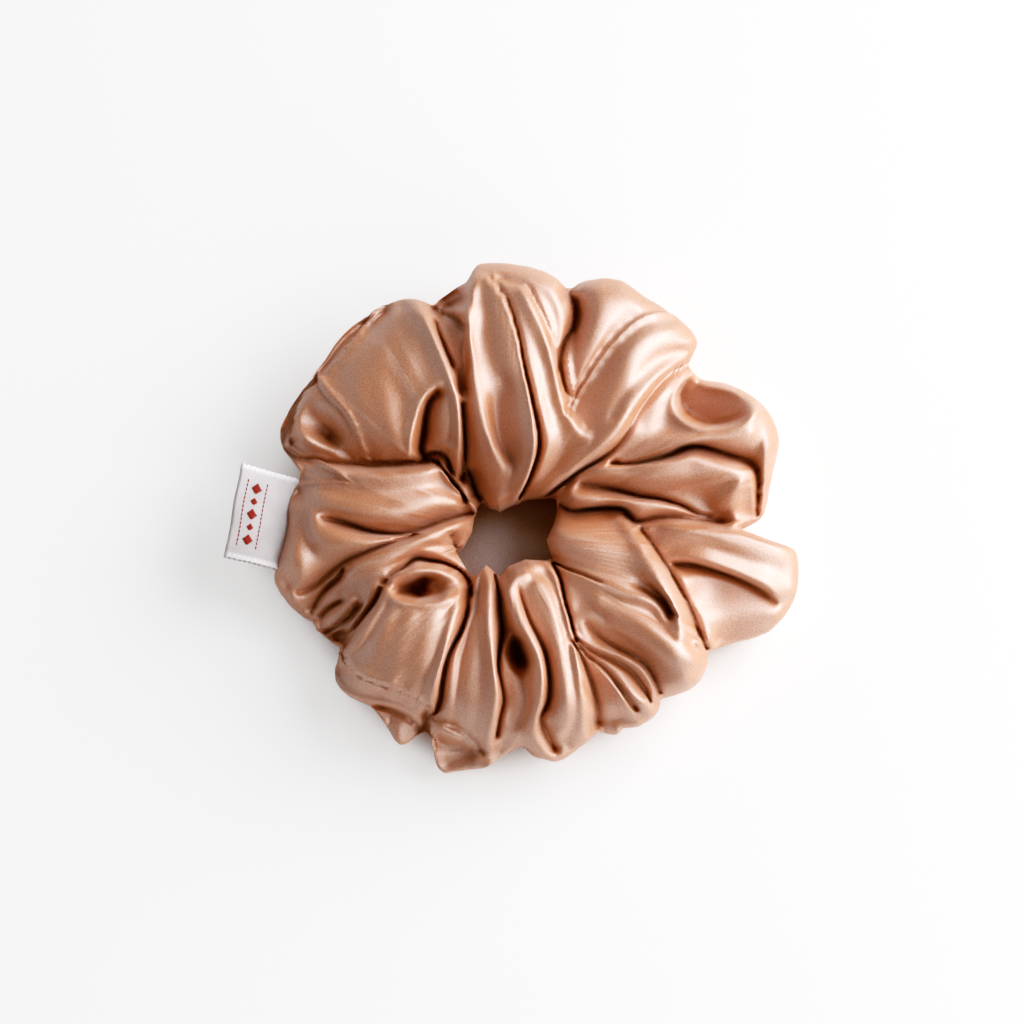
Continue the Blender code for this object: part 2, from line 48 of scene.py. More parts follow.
# Each fold is: kind, name, then points as right,up,height above the floor.
# Kinds: R crest, C crease, V soft hollow, P even panel, S seam.
FOLD_TABLE = """
R a_left_rim -8.5,54.8,27 -9.6,49.9,29 -9.6,43.4,30 -8.7,35.9,31 -7.6,29.5,31 -6.1,23.4,30
 -4.2,18.7,28 -2.3,15.3,26;
R a_right_rim -5.3,55.9,28 -2.3,51.8,30 -0.1,47.1,31 1.4,40.6,32 2.9,32.7,33 4.2,25.2,33
 4.4,19.8,32 3.5,15.3,29 1.6,10.8,25 -0.8,7.5,20;
V a_hollow -3.1,32.7,29 -3.5,26.2,26 -2.9,20.9,24 -0.8,17,24;
C k_a -10.9,28.6,21.5 -10.6,24.1,18 -10.4,18.7,13 -10.9,12.3,8;
V k_a_top -10.2,43.4,25.5 -11.3,37,25 -11.1,31.6,23.5;
C deep_west -9.8,14.4,6 -8.3,10.1,6 -7.2,8,6;
C a_a2 -5.7,56.6,25 -3.5,54,25 -1.2,50.5,25 0.8,44.5,26 2.3,37,26 4,29.5,25 5.3,23,23
 5.3,18.3,20 3.5,12.7,15 1.4,8.4,10;
R a2_crest -0.1,53.8,28 1.8,52.9,30 3.5,50.3,31 5.9,45.2,31 8.5,37.6,31 9.4,32.7,30.5
 10.4,28.8,30 12.2,25.4,29.5 14.1,22.8,29 16.5,21.1,28.5;
R b_crest -6.6,57.8,24 -0.8,57,26 4.6,54.6,27 8.3,51,27 10,45.6,26 10,41.3,25;
C a2_b -3.5,55.7,24 -0.3,55.1,25 2.7,53.8,25.5 4.8,50.5,26 7.2,45.6,26 9.1,40.2,25 9.8,35.9,25;
C b_c 11.7,52.9,16 13.2,49.9,15 13.4,46.7,15 12.2,43.9,16 10.6,40.6,17 10.2,37.6,19 10.6,34.2,21
 11.5,31.2,23 13,28.4,24.5;
R c_left 21.2,55.1,24 20.3,51,27 19,46.7,28 17.3,41.9,28 15.2,37,27 13.2,32,26;
S c_seam 34.1,47.7,23 30.4,48,25 27.2,46.9,26 24.6,44.9,26.5 21.8,42.2,26.5 19.7,39.6,26
 17.3,36.3,25.5 14.9,32.9,24.5 13,29.5,23 12.2,27.5,22;
R c_right 37.5,43.4,23 32.6,43.4,27 28.3,41.9,29 25.5,38.9,30 24,34.8,30 22.5,30.5,29.5
 20.8,26.2,29;
R long_ridge 38.6,38.9,20 35.8,37.8,23 33.2,36.3,26 30.4,34.4,28 27.8,31.8,30 25.5,29,31
 23.3,25.8,31.5 21.2,22.8,31 18.6,20.2,30 15.4,17.4,28 11.7,14.2,26 7.8,11.4,23 4.2,9.5,19
 1.4,8.2,15;
V c_hollow 13,28.4,24.5 14.3,26,25.5 15.6,23.7,27;
C c_d 38.8,37.4,14 36.2,36.6,17 34.1,35.5,20 31.5,33.1,23 29.4,30.5,25 27.2,27.3,26 25.1,23.4,26
 22.5,19.8,24 19.2,17,20 16,15.1,16 12.2,12.7,12 8.9,10.1,9 6.8,8.6,8;
R d_small 36.7,33.8,22 34.9,32.7,24 32.6,31.2,26 30.4,28.4,27 28.3,25.2,27;
R d_rim 36.5,34.2,22.5 34.9,31.6,25 34.5,28.6,27 36.2,25.4,28.5 39.7,23.4,29.5 43.3,22.8,29.5
 47.6,23.4,30 50.9,25.6,30 52.4,29,28 50.9,31.6,25;
C d_pocket_edge 37.5,33.3,17 36.1,31.2,12.5 36,28.8,10 37.5,26.7,10 40.1,25.3,11 43.1,24.7,13.5
 46.1,25.2,17.5 48.3,26,21.5;
P d_pocket 39.9,30.3,14.5 42.7,29.2,15.5 45.9,29,18.5;
P d_pocket_a 38.1,32,15.5 37.1,30.1,12.5 37.2,28.4,11.5 38.6,27.1,11.5 40.8,26.2,12.5
 43.5,25.9,15.5 46.3,26.5,19.5 48.3,27.3,22.5;
R d_back 41.2,32.9,19 45.5,32.5,21 49.1,31,24;
R d_main 50.9,23,30 45.5,21.5,30 40.1,21.3,30 35.8,20.6,29.5 31.5,19.1,28 27.2,17.6,26
 23.3,16.3,24;
R d_outer 54.1,24.1,27 54.7,19.8,26 54.3,15.5,24 53.4,11.2,22 53,6.9,18 52.4,4.1,14;
C d_d2 21.2,15.9,19 26.1,15.9,18 30.4,16.8,17 33.7,17.8,15 36.5,19.1,14 39.5,19.6,14
 42.7,18.9,15 45.9,17.8,15 49.1,16.8,16 51.7,15.5,16 52.8,12.7,15 52.6,8,13 52.4,4.5,10;
R d2 13.2,12.7,20 15.4,14.2,23 18.6,14.8,25 24,15.3,26 29.4,15.5,27 33.7,16.1,27.5 38,17,27.5
 41.2,16.1,27 44.8,14.8,26.5 48.3,13.8,26 50.6,12.7,24 51.5,10.1,21 51.7,6.9,18 51.9,4.1,14;
C d2_d3 14.9,11.4,16 18.6,10.8,14 22.9,9.9,12 27.2,8.8,12 31.5,8.2,13 35.8,6.9,13 39.5,5.2,13
 42.3,4.5,12;
R d2_fold 44,6.2,19 45.3,8.6,22 47,10.8,24.5 49.1,12.3,26;
R d3 13.4,11.4,20 12.6,10.1,21 13.4,8.8,21.5 16.5,8.2,22 20.8,8.2,22 25.1,7.7,22.5 29.4,7.3,22
 34.1,6.7,21 38,5.8,19 41.2,5.4,17 44,5.2,15;
C d3_e 10,6.9,10 12.6,5.6,10 16.5,6,9 20.8,6.2,8 23.3,6,8 24.8,4.7,9 26.3,3.4,12 28.3,3.7,14
 31.5,4.3,15 35.8,4.3,15 40.1,3.9,14 45.5,3.2,11;
R d_hole 11.7,12.7,18 10,10.5,17 9.4,8,16;
R e_band 30.6,1.1,19 33.2,1.5,22 36.2,1.5,23.5 40.1,1.1,24 45.5,0.2,24 50.9,-1.1,23 56.2,-2.8,21
 59,-4.5,19 60.1,-7.5,18 60.1,-11,18;
R e_rim 33.2,-4.3,20.5 35.4,-4.1,22 38,-4.1,23 41.2,-4.7,23.5 45.5,-6.2,23 50.4,-8.2,22
 54.1,-9.9,21 56.2,-11.8,19;
C e_under 34.9,-5.8,14 38.4,-6,13 42.7,-7.1,12.5 47.6,-8.8,12.5 51.9,-10.8,13 54.7,-12.7,14
 56,-14.2,15;
P e_panel 41.4,-12.3,17 44.8,-13.8,17.5 49.8,-14.8,17.5 54.1,-15.7,17 56.9,-16.1,16.5;
R e_edge 61,-8.2,17 60.5,-11.8,17 58.8,-15.3,16 55.2,-18.7,15 49.8,-20.9,14 44.4,-22.6,13;
R f_right 22.5,3.9,19 24.4,1.3,22 26.6,-1.9,25.5 28.7,-5.2,28 30.9,-8.8,29.5 33,-12.3,30
 34.5,-15.5,30 35.4,-18.9,29.5 35.4,-21.5,29;
P f_panel2 11.3,-3.4,21 15.4,-4.9,23.5 19.2,-6.5,25.5;
P f_panel 8.3,-0.9,20 12.2,-1.7,22.5 16.5,-3,24 21.2,-4.9,25.5;
V f_swirl 27.2,-10.3,25 30.4,-12,23 32.6,-14,21 34.1,-16.6,21.5;
R f_second 8.5,-5.2,17 10.4,-6.7,21 13.2,-8,24 16.5,-9.2,26 19.7,-10.5,27 23.3,-11.8,28
 27.2,-12.9,28.5 29.8,-14,28 31.5,-15.7,27.5 33.2,-18.7,27.5 35.8,-21.3,29;
C f1_f2 9.1,-5.6,14 11.3,-6.7,18 14.3,-7.7,22 18.6,-9.5,25;
R f_belly 18.6,-13.5,27 25.1,-16.8,28 30.4,-20.4,29 34.7,-23.9,29 38,-26.5,27 39.5,-29,23;
R f_outer 40.1,-22.2,26 41,-25.4,22;
C e_f 27.2,1.9,15 29.4,-0.9,17 31.7,-4.3,18 34.3,-8.4,18 36.7,-12.7,17 38.4,-16.6,15
 39.9,-20.4,13 41.4,-23.9,10;
C f2_f3 15.8,-18.5,23 17.3,-20.2,21 19.5,-22.2,20 22.5,-23.9,19 25.7,-25.4,18 28.3,-27.3,16.5
 30,-29.9,15 31.3,-33.3,12;
R f3 18.6,-17.4,25 16,-16.8,25 13.7,-17.6,24.5 12.8,-19.4,24 14.1,-21.7,24 16.9,-23.4,24
 20.1,-24.7,24 23.3,-25.8,24 26.6,-27.5,23.5 28.9,-30.1,22.5 30.4,-32.9,20.5 30.9,-35.7,17;
C f3_f4 13.2,-21.3,22 16.5,-23.9,21 19.7,-25.6,20 22.9,-27.1,19 25.7,-29.2,18 28.1,-32.5,16.5
 29.4,-35.1,14;
R f4 14.9,-24.3,21 18.2,-26,22 21.2,-28.2,22 23.3,-30.8,22 25.3,-33.5,22 27.6,-35.1,21
 29.6,-34.6,20;
C f4_f5 14.1,-23.2,21 16.5,-25.8,20 19.5,-28.2,19 22,-31.2,17.5 24.6,-34.6,16 26.3,-36.8,13;
R f5 16.5,-25.6,22 19.2,-28.8,22.5 21.8,-31.8,22 23.8,-34.8,21 25.5,-37.6,18 26.6,-38.9,15;
P f5_panel 18.2,-31.4,18.5 19.7,-34.2,19 21,-36.8,17;
R f_hem 19.2,-40.9,10 21.2,-39.6,12 24,-39.1,13 25.7,-39.4,13;
C g_f5 12.6,-22.2,19 14.5,-25.4,18 16,-29,16.5 17.3,-32.9,14 18.2,-36.8,11 18.2,-39.8,7;
R g_right 6.8,-5.6,22 8.9,-8.2,24 10.2,-11.8,26 11.3,-16.1,27 12.6,-21.1,27.5 13.7,-26.5,27.5
 14.3,-31.8,26.5 14.5,-36.1,24 13.9,-40.4,19 11.7,-44.7,12;
C g_f 8.5,-5.4,13 10,-9.2,15 11.1,-14,17 12.4,-18.3,18 13.4,-22.2,18;
R g_top -1.8,-9.2,20 -0.8,-6.7,22 1.8,-5.6,24 4.6,-5.4,24 6.8,-5.6,22;
R g_hook 2.3,-7.7,27 0.3,-8.6,27.5 -0.8,-10.8,27.5 -0.3,-13.5,28 1,-16.3,28.5 2.5,-19.4,29
 4.2,-22.6,29 5.5,-25.8,28.5 6.1,-29.7,28 5.9,-34,26 5.1,-37.8,23 3.1,-41.9,18 -0.3,-44.7,13
 -3.3,-46.7,9;
C g_crease 1.4,-11.4,25 2.3,-14.6,24 3.5,-17.8,23 5.1,-20.9,21.5 6.6,-24.1,20 7.4,-27.5,19
 7.8,-31.8,18 7.4,-35.5,16 5.9,-38.9,14 7.2,-42.2,12 8.9,-45.4,8;
R g_body 5.1,-10.3,27 7.6,-14.6,27.5 9.6,-22.2,27.5 11.1,-30.8,27 11.5,-36.1,25 10.6,-41.5,18;
C h_s -4,-8.2,15 -3.1,-12.5,15 -2.7,-16.8,15 -2.3,-20.4,13 -2.9,-24.3,14 -3.3,-28.2,16
 -2.7,-31.2,17 -2,-35.1,16 -2.7,-38.3,14 -3.5,-42.6,10;
R s_thin -1.2,-21.5,20 -2.3,-24.3,21 -1.8,-27.3,22 -0.3,-29.9,22 1,-32.9,22 1.4,-36.1,20
 0.3,-40.4,16;
V s_eye 0.1,-22.6,12 0.5,-25.4,10 1.6,-26.9,12;
R h_ridge -7.2,-5.6,21 -5.7,-6.7,23 -5.1,-9.2,25 -5.3,-13.5,27 -5.3,-17.8,28 -4.8,-23.2,28.5
 -4.2,-28.6,28 -3.8,-32.9,26.5 -4.2,-37.6,23 -5.1,-42.6,17 -5.5,-46.9,10;
C i_h -9.4,-11.4,18 -9.8,-15.7,17 -10.9,-19.6,16 -12.8,-23.2,15 -14.3,-26.5,15 -15.2,-30.8,14
 -15.8,-35.1,12 -17.5,-38.1,11;
R h_left -7.6,-7.1,20 -8.5,-11.4,22 -9.1,-16.1,24 -10.9,-21.1,25 -12.6,-25.4,25 -13.4,-30.8,24
 -13.7,-35.1,21 -14.3,-38.9,16;
P h_mid -8.1,-17.8,26 -8.5,-23.2,26 -8.9,-28.6,25.5 -9.4,-35.1,23;
C h_hem -18,-38.5,12 -14.7,-39.8,13 -11.1,-41.7,12 -8.3,-43.9,10 -6.3,-46.5,8;
V h_flap -16.2,-43.9,8 -13.7,-45.4,7 -10.9,-45.2,7;
V h_flap_fold -14.3,-48.8,5 -11.5,-47.5,6 -8.5,-46.2,7;
R i_right -12.6,-9.7,22 -11.7,-11.8,25 -12.4,-15.3,27 -13.7,-19.6,28 -14.9,-24.3,28 -16.2,-29,27
 -17.3,-32.9,25 -18.2,-35.9,21;
R i_eye_low -27.6,-11.4,24 -26.3,-13.1,26 -24,-14.2,27 -20.1,-14.6,27.5 -16.2,-14.4,27.5
 -13.2,-13.1,27;
V i_eye -24,-11.4,16 -21.8,-11,12 -20.1,-11.4,9 -19.2,-9.5,10;
R i_eye_ball -17.7,-10.1,19 -16.5,-11.8,20;
R i_eye_top -27,-9,24 -24,-7.7,25 -20.5,-7.1,25.5 -16.9,-7.1,25 -13.7,-8.2,24 -11.5,-10.1,22
 -10.2,-12.9,18;
C i_j3 -28.1,-9.9,18 -26.1,-8,17 -23.3,-6.2,15 -21.2,-4.7,13 -18.4,-4.9,12 -14.7,-5.6,12
 -11.5,-7.1,11 -9.4,-9.7,9 -8.9,-12.5,8;
C i_left_crease -28.5,-11,16 -30,-14,14 -32.2,-17,13 -34.1,-19.6,11 -35.6,-22.2,10 -36.7,-23.7,9;
R i_left -27.4,-12.3,25 -28.9,-15.7,24.5 -31.1,-19.1,24 -33.2,-22.2,22 -35.2,-24.5,19;
P i_panel2 -26.1,-16.1,26.5 -27.8,-21.1,25.5 -29.6,-25.4,23 -30.9,-28.2,20.5;
P i_panel3 -16.9,-17.4,28 -18.6,-22.6,27.5 -20.1,-27.5,26 -21.6,-32,22.5;
P i_panel -21.8,-17.4,27.5 -23.3,-22.2,26.5 -24.8,-26.9,25 -26.1,-30.8,22.5;
C i_seam -37.1,-24.7,12 -35.6,-27.3,14.3 -33.4,-29.5,16 -30.4,-31,17 -27,-32.3,17.4
 -23.5,-33.5,17.4 -20.5,-35.1,16.8 -18.2,-36.3,14;
R i_hem -36.1,-24.3,15.5 -34.7,-26.5,18.3 -32.8,-28.5,20.2 -30,-30,21.2 -26.6,-31.3,21.8
 -23.1,-32.6,21.8 -20.3,-34,21.2 -18,-35.2,18.5;
R i_band -37.7,-29,11 -36.2,-32.5,12.5 -33.4,-34.4,13.5 -30.4,-34.9,14 -28.3,-35.2,14.3
 -24.6,-36.3,14.3 -21.4,-38.2,13.5 -20.1,-39.8,11;
C i_flap -32.6,-36.3,7 -28.5,-36.5,7.5 -24.8,-37.8,8 -21.6,-39.7,7.5 -19.9,-41.5,5;
R i_flap_body -27.8,-38.9,9.5 -25.1,-41.1,10.5 -22.7,-42.8,8.5;
C i_h_low -18.4,-37.6,10 -18.8,-39.8,8 -18.6,-41.9,5;
R j1_top -45.1,14.4,16 -42,15.5,20 -39.5,14.2,22 -35.2,13.3,24 -29.8,12.9,25.5 -24.4,13.1,26
 -19,14,26 -15.8,14.6,25 -13.7,12.3,24 -11.1,9.5,22 -8.7,7.3,18;
C k_j -49.6,18.9,12 -45.9,17.4,13 -41.6,16.3,13 -36.2,15.9,14 -30.9,15.7,14 -25.5,15.9,14
 -20.1,16.3,13 -16.9,16.1,12 -14.9,14.4,11 -12.6,11.4,9 -9.8,8,7;
S j_seam -46.6,10.3,14 -44.6,11.6,17 -42,12,20 -39,12.3,21.5 -35.2,12.3,23;
R j1_body -44.8,9.7,18 -41.6,8.6,22 -37.3,6.9,24 -33,5.8,25.5 -27.6,5.8,26 -22.3,6.9,26
 -16.9,8,25 -12.6,7.5,22;
C j1_j2 -41.2,4.1,20 -38.4,3.7,17 -35.2,2.8,15 -31.5,1.5,14 -27.6,0.9,14 -23.3,0.9,14
 -19,2.2,13 -14.7,3.9,12 -11.5,4.7,11 -8.9,5.2,9;
R j2 -42,3.7,22 -41.4,1.5,23 -38.8,0.2,24 -35.2,-0.6,24.5 -30.9,-0.9,24.5 -26.1,-0.4,24;
R j2_belly -46.6,3.7,18 -46.3,-0.6,20 -45.7,-4.9,20 -46.3,-8.4,17 -48.1,-10.3,12;
C j2_j3 -45.9,-11.8,9 -42.7,-10.3,10 -39.5,-7.7,12 -36.2,-5.2,15 -33,-3.7,17 -28.7,-1.9,18
 -24.4,-0.6,18 -21.2,0.6,16;
R j3 -35.8,-8.6,20 -33.4,-6.5,22 -30.4,-4.7,23.5 -26.6,-3.2,24.5 -22.3,-1.5,25 -18,0.2,25
 -14.1,1.9,23 -11.1,2.8,20 -8.9,2.8,16;
R j3_low -19,-2.4,22 -15.8,-3.2,20 -12.6,-5.4,17 -9.8,-8.2,13;
R j_hole -9.4,1.9,18 -10.4,-0.6,17 -12.2,-1.9,15;
C j_hole_c -13.2,0.4,16 -12.6,-1.7,13 -11.1,-3.2,10;
C sw1 -43.3,-16.1,6 -42,-13.5,8 -39.9,-11,9 -37.3,-8.6,11 -36.5,-6.7,13;
R sw2 -43.3,-16.1,8 -41.2,-13.8,12 -38.8,-11.8,15 -36.9,-9.9,17 -35.6,-8,19;
C sw3 -41.4,-17.2,8 -39.9,-15.5,9 -38.2,-14.2,10 -37.1,-13.8,11;
R sw4 -42.5,-18.3,9 -42,-16.1,11 -40.3,-14.4,13 -37.7,-12.9,15;
R sw5 -41.6,-19.6,9 -39.5,-18.3,13 -36.9,-16.1,16 -34.7,-13.5,18;
C sw6 -40.5,-20.4,6 -37.7,-18.9,9 -35.2,-17,11 -33.4,-14.6,13;
R sw7 -38.4,-22.2,6 -36.2,-21.3,8;
R k_ridge -24.4,50.3,20 -21.8,49.9,24 -19.7,47.7,27 -17.7,44.1,29 -15.8,39.8,30 -13.9,34.8,31
 -12.4,30.1,31 -11.7,25.2,30 -11.7,19.8,27 -11.9,15.5,22 -12.4,12.7,15;
P k_panel -26.1,46.7,23 -28.3,40.2,25.5 -27.8,33.8,26.5 -27,27.3,27 -25.5,21.9,26.5 -24,18.7,25;
P k_panel3 -20.5,43.4,26 -21.4,38.1,27.5 -21.4,32.7,28;
P k_panel2 -30.4,41.3,23.5 -33,35.9,24.8 -32.6,29.5,25.6 -30,23,25.3 -27.8,18.7,23.5;
R k_pocket_rim -15.6,32.9,30 -18,31.6,29.5 -20.1,29,29 -21.4,25.2,28 -22.3,21.3,27 -22.5,17.6,24;
C k_pocket -16.2,31.2,22 -18,29,18 -18.8,26.2,15 -19.2,22.6,12 -19.7,19.1,10 -19,17,8;
R k_tail -14.3,29.5,29 -14.5,25.2,28 -15.4,22.2,26 -16.7,20.6,23.5;
R k_tail_hem -18.2,19.6,20 -16.7,20,23 -14.9,20.1,24.5 -13,20,25;
C k_tail_c -18.2,17.6,10 -16.5,18.1,12 -14.9,17.6,13.5 -13.9,15.9,12.5 -13.4,14,11;
R b_left -14.7,51,14 -12.6,51.8,16 -10.2,51,18;
C b_left_c -17.3,49,14 -14.7,47.7,16 -11.9,46.5,18 -10.2,44.9,20;
C k_right_c -16.7,46.2,20 -15.8,43.4,20 -14.3,39.8,20 -13,36.8,20;
R between -14.1,46.7,22 -11.9,43.4,24.5 -10.6,40.2,25 -10.6,35.9,24;
S k_out_seam -47.8,19.4,11.5 -47.6,23,14 -46.6,27.3,16 -44.6,31.2,17.8 -41.6,33.8,19.5
 -39,36.3,20.3 -36.2,40.2,20.3 -33.4,43.9,19.3 -30.9,46.9,17.5 -28.3,49,15.5;
R k_out_band -49.4,22.6,11 -48.1,26.9,12.5 -45.3,31.2,14 -42,35.5,15 -38.4,40.2,15
 -35.2,43.7,14.2 -31.9,46.5,13.3;
S k_close_seam -41.6,33.8,19.5 -39.5,30.8,21.8 -36.7,28,22.6 -34.7,25.2,22.7 -33.4,21.9,21.8
 -32.2,19.1,20 -30.6,16.8,17;
P k_left_a -39.9,32.5,22.5 -37.3,29,24 -35.2,26.2,24.3 -33.2,23,24 -31.7,19.8,22.5 -30.6,18.3,20;
R k_left_loop -42.5,32,21 -45.1,29,20 -46.6,25.8,19.5 -46.3,23,20 -44.2,20.9,20 -41.2,19.4,19
 -37.7,18.1,18 -35.2,16.8,16;
V k_left_pocket -42.7,24.1,17 -40.3,22.6,14 -38.8,21.3,14;
R k_low_band -49.6,20.9,13 -47,18.9,15 -43.8,18.1,16 -39.5,17,16
"""


def read_points(text):
    """Points from text, as tuples: spaces part the points and commas their coordinates."""
    return [tuple(map(float, point.split(","))) for point in text.split()]


FOLDS = []                           # (kind, name, points)
for entry in FOLD_TABLE.split(";"):
    fold_kind, fold_name, point_text = entry.split(maxsplit=2)
    FOLDS.append((fold_kind, fold_name, read_points(point_text)))

# the cover's outer edge and the edge of its hole, as right,up
OUTLINE = read_points("""
-9.8,54.8 -8.9,57 -7.6,58.7 -5.1,58.9 -1.8,58.9 3.5,58.1 6.8,57 9.4,55.5 11.3,53.3 11.7,52.9
13.2,54.2 15.4,55.1 19.7,55.7 23.3,55.1 25.7,53.5 28.3,51.6 31.5,49.7 34.1,48 36.9,45.6 38.6,43.9
39.5,42.2 39.5,40.6 38.4,39.1 37.1,37.4 38,36.1 39.5,34.6 40.5,33.8 42.7,33.5 45.5,33.1 48.7,31.8
51.3,30.3 53.7,28.4 55.6,25.6 56.7,23 57.1,20.4 56.5,17 55.6,13.3 54.9,10.1 54.5,7.3 53.7,4.7
52.2,3.4 48.3,3.2 48.7,1.7 51.3,0.9 54.1,-0.2 56.5,-1.3 58.6,-1.7 60.1,-2.2 60.8,-3.4 61.2,-6
61.2,-9.2 60.8,-11.8 59.5,-14.8 57.7,-17.4 55.2,-19.8 51.9,-21.3 47.6,-22.6 44,-23.7 41.8,-24.3
41.8,-26 41.4,-28.2 40.1,-30.8 38,-32.5 35.8,-33.5 33.7,-34.2 31.5,-34.4 31.5,-36.1 30.9,-37.6
28.9,-39.4 27.2,-40.4 25.1,-40.9 23.3,-40.9 22.5,-42.4 20.8,-42.4 18.6,-41.7 18,-41.3 16,-43.7
13.2,-45.8 11.1,-47.3 9.6,-48 8.5,-48.2 6.8,-47.5 4,-45.8 1.8,-44.3 0.3,-45.4 -1.8,-46.5
-3.5,-47.3 -5.1,-49 -6.8,-49.7 -9.4,-49.9 -12.6,-50.3 -14.7,-50.8 -16.2,-49.7 -17.1,-46.9
-17.7,-44.1 -18.2,-41.9 -19.2,-41.5 -21.2,-43 -23.3,-44.5 -24.4,-44.7 -25.5,-43.7 -27,-41.1
-28.7,-38.3 -30.4,-36.3 -32.6,-35.3 -35.2,-34.2 -37.3,-32.5 -38.4,-30.8 -38.4,-28.2 -37.7,-25.4
-37.1,-23.9 -38.4,-22.8 -40.5,-21.3 -42.3,-19.6 -43.1,-17.8 -44.6,-17.4 -46.3,-16.3 -48.5,-14.2
-50.2,-11.8 -51.3,-9.7 -51.5,-8.2 -50.4,-4.9 -49.1,-0.6 -48.5,2.6 -48.3,5.8 -47.8,8.4 -46.8,10.3
-45.9,13.8 -45.9,15.3 -48.5,17.6 -50,19.4 -50.4,20.9 -50.2,23 -49.1,25.6 -47.4,29 -45.3,32
-43.3,34.4 -40.5,38.1 -38.4,41.3 -36.2,43.7 -33,46.7 -29.8,48.6 -26.6,50.1 -23.3,51.2 -21.2,51.2
-19,50.5 -17.3,49.5 -16.2,51 -14.3,52.3 -11.9,53.8
""")
HOLE = read_points("""
9.1,8.4 9.4,5.8 8.5,2.6 7,-0.6 7.8,-3 8.5,-4.5 6.8,-4.9 2.5,-4.7 -1.2,-6.2 -2.9,-8.4 -4.2,-7.3
-6.6,-5.2 -7.8,-8.2 -9.4,-8 -11.1,-5.2 -12.6,-2.6 -10.6,-1.7 -8.9,1.3 -8.5,3.7 -7.6,6.7 -6.3,8
-5.1,6.5 -2.9,5.6 -0.8,6.7 2.5,8.2 5.7,8.6 7.8,8.8
""")
CENTRE = np.array([-1.7, 0.2])       # of the polar grid, in the drawing plane


# ---- curves and fold heights ----

def catmull_rom(knots, count):
    """Samples from the second knot up to the last but one; count(start, end) is how many in a span."""
    spans = []
    for a, b, c, d in zip(knots, knots[1:], knots[2:], knots[3:]):
        t = np.linspace(0, 1, count(b, c), endpoint=False)[:, None]
        spans.append(0.5 * (2 * b + (c - a) * t + (2 * a - 5 * b + 4 * c - d) * t**2
                            + (3 * b - 3 * c + d - a) * t**3))
    return np.vstack(spans)


def with_end_knots(p):
    """The points with one more knot beyond each end, for an open curve."""
    return np.vstack([2 * p[0] - p[1], p, 2 * p[-1] - p[-2]])


def fold_curve(points, step=0.45):
    """Samples about a step apart along the curve through a fold's points."""
    p = np.array(points, float)
    knots = np.vstack([p[0], p, p[1]]) if len(p) == 2 else with_end_knots(p)

    def count(start, end):
        return max(2, int(np.linalg.norm((end - start)[:2]) / step) + 1)

    return np.vstack([catmull_rom(knots, count), knots[-2:-1]])


def fold_samples(kinds):
    """Samples along the folds of these kinds: right, up, height, share of length, softness."""
    rows = []
    for kind, _, points in FOLDS:
        if kind in kinds:
            s = fold_curve(points)
            gap = np.linalg.norm(np.diff(s[:, :2], axis=0), axis=1)
            share = (np.append(gap, gap[-1]) + np.insert(gap, 0, gap[0])) / 2
            rows.append(np.column_stack([s, share, np.full(len(s), 1.0 if kind in "VP" else 0.0)]))
    return np.vstack(rows).astype(np.float32)


# panels and seams count as both crest and crease, so the cover passes evenly through them
CREST, CREASE = fold_samples("RSP"), fold_samples("CVSP")
LINE_INTEGRAL = 1.1781               # of (1 + t * t) ** -3 over the whole line
CHUNK = 3000                         # queries handled at a time


def nearest(queries, samples):
    """A smooth distance from each query to the curves, and their height and softness near it."""
    queries = queries.astype(np.float32)
    distance, height, soft = (np.empty(len(queries)) for _ in range(3))
    for first in range(0, len(queries), CHUNK):
        rows = slice(first, first + CHUNK)
        part = queries[rows]
        square = (part[:, :1] - samples[None, :, 0]) ** 2 + (part[:, 1:] - samples[None, :, 1]) ** 2
        near = samples[:, 3] / (square + 0.01) ** 3
        distance[rows] = (near.sum(1) / LINE_INTEGRAL) ** -0.2
        weight = samples[:, 3] / (square + 0.8) ** 2.2
        total = weight.sum(1)
        height[rows] = (weight @ samples[:, 2]) / total
        soft[rows] = (weight @ samples[:, 4]) / total
    return distance, height, soft


def fold_height(queries):
    """Height of the cover's top at points of the drawing plane: round crests, pinched creases."""
    to_crest, crest_z, _ = nearest(queries, CREST)
    to_crease, crease_z, soft = nearest(queries, CREASE)
    to_crest, to_crease = np.maximum(to_crest - 0.25, 0), np.maximum(to_crease - 0.25, 0)
    t = to_crease / (to_crease + to_crest + 1e-9)
    pinched = np.sin(t * np.pi / 2) ** 0.52
    gentle = t * t * (3 - 2 * t)
    return crease_z + (crest_z - crease_z) * (pinched * (1 - soft) + gentle * soft)


# ---- the cover's grid: stations around the ring, each a closed loop of points ----
# A loop runs from the outer edge over the top to the hole, then back underneath.

AROUND, TOP = ((840, 90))      # stations, and points of a loop's top
LOW = 28                                             # points of a loop's underside
ANGLES = np.arange(AROUND) * 2 * np.pi / AROUND


def reach(polygon):
    """Distance from the centre to the polygon's outermost crossing at each station."""
    start = np.array(polygon, float) - CENTRE
    side = np.roll(start, -1, axis=0) - start
    out = np.zeros(AROUND)
    for i, angle in enumerate(ANGLES):
        ray = np.array([math.cos(angle), math.sin(angle)])
        cross = ray[0] * side[:, 1] - ray[1] * side[:, 0]
        cross = np.where(np.abs(cross) < 1e-12, 1e-12, cross)
        along_ray = (start[:, 0] * side[:, 1] - start[:, 1] * side[:, 0]) / cross
        along_side = (start[:, 0] * ray[1] - start[:, 1] * ray[0]) / cross
        hit = (along_side >= 0) & (along_side < 1) & (along_ray > 0)
        out[i] = along_ray[hit].max() if hit.any() else 0.0
    return out


def rounded(values, passes):
    """Values around the ring, smoothed."""
    for _ in range(passes):
        values = (np.roll(values, 1) + 2 * values + np.roll(values, -1)) / 4
    return values


OUTER = rounded(reach(OUTLINE), 2)
INNER = rounded(reach(HOLE), 4)
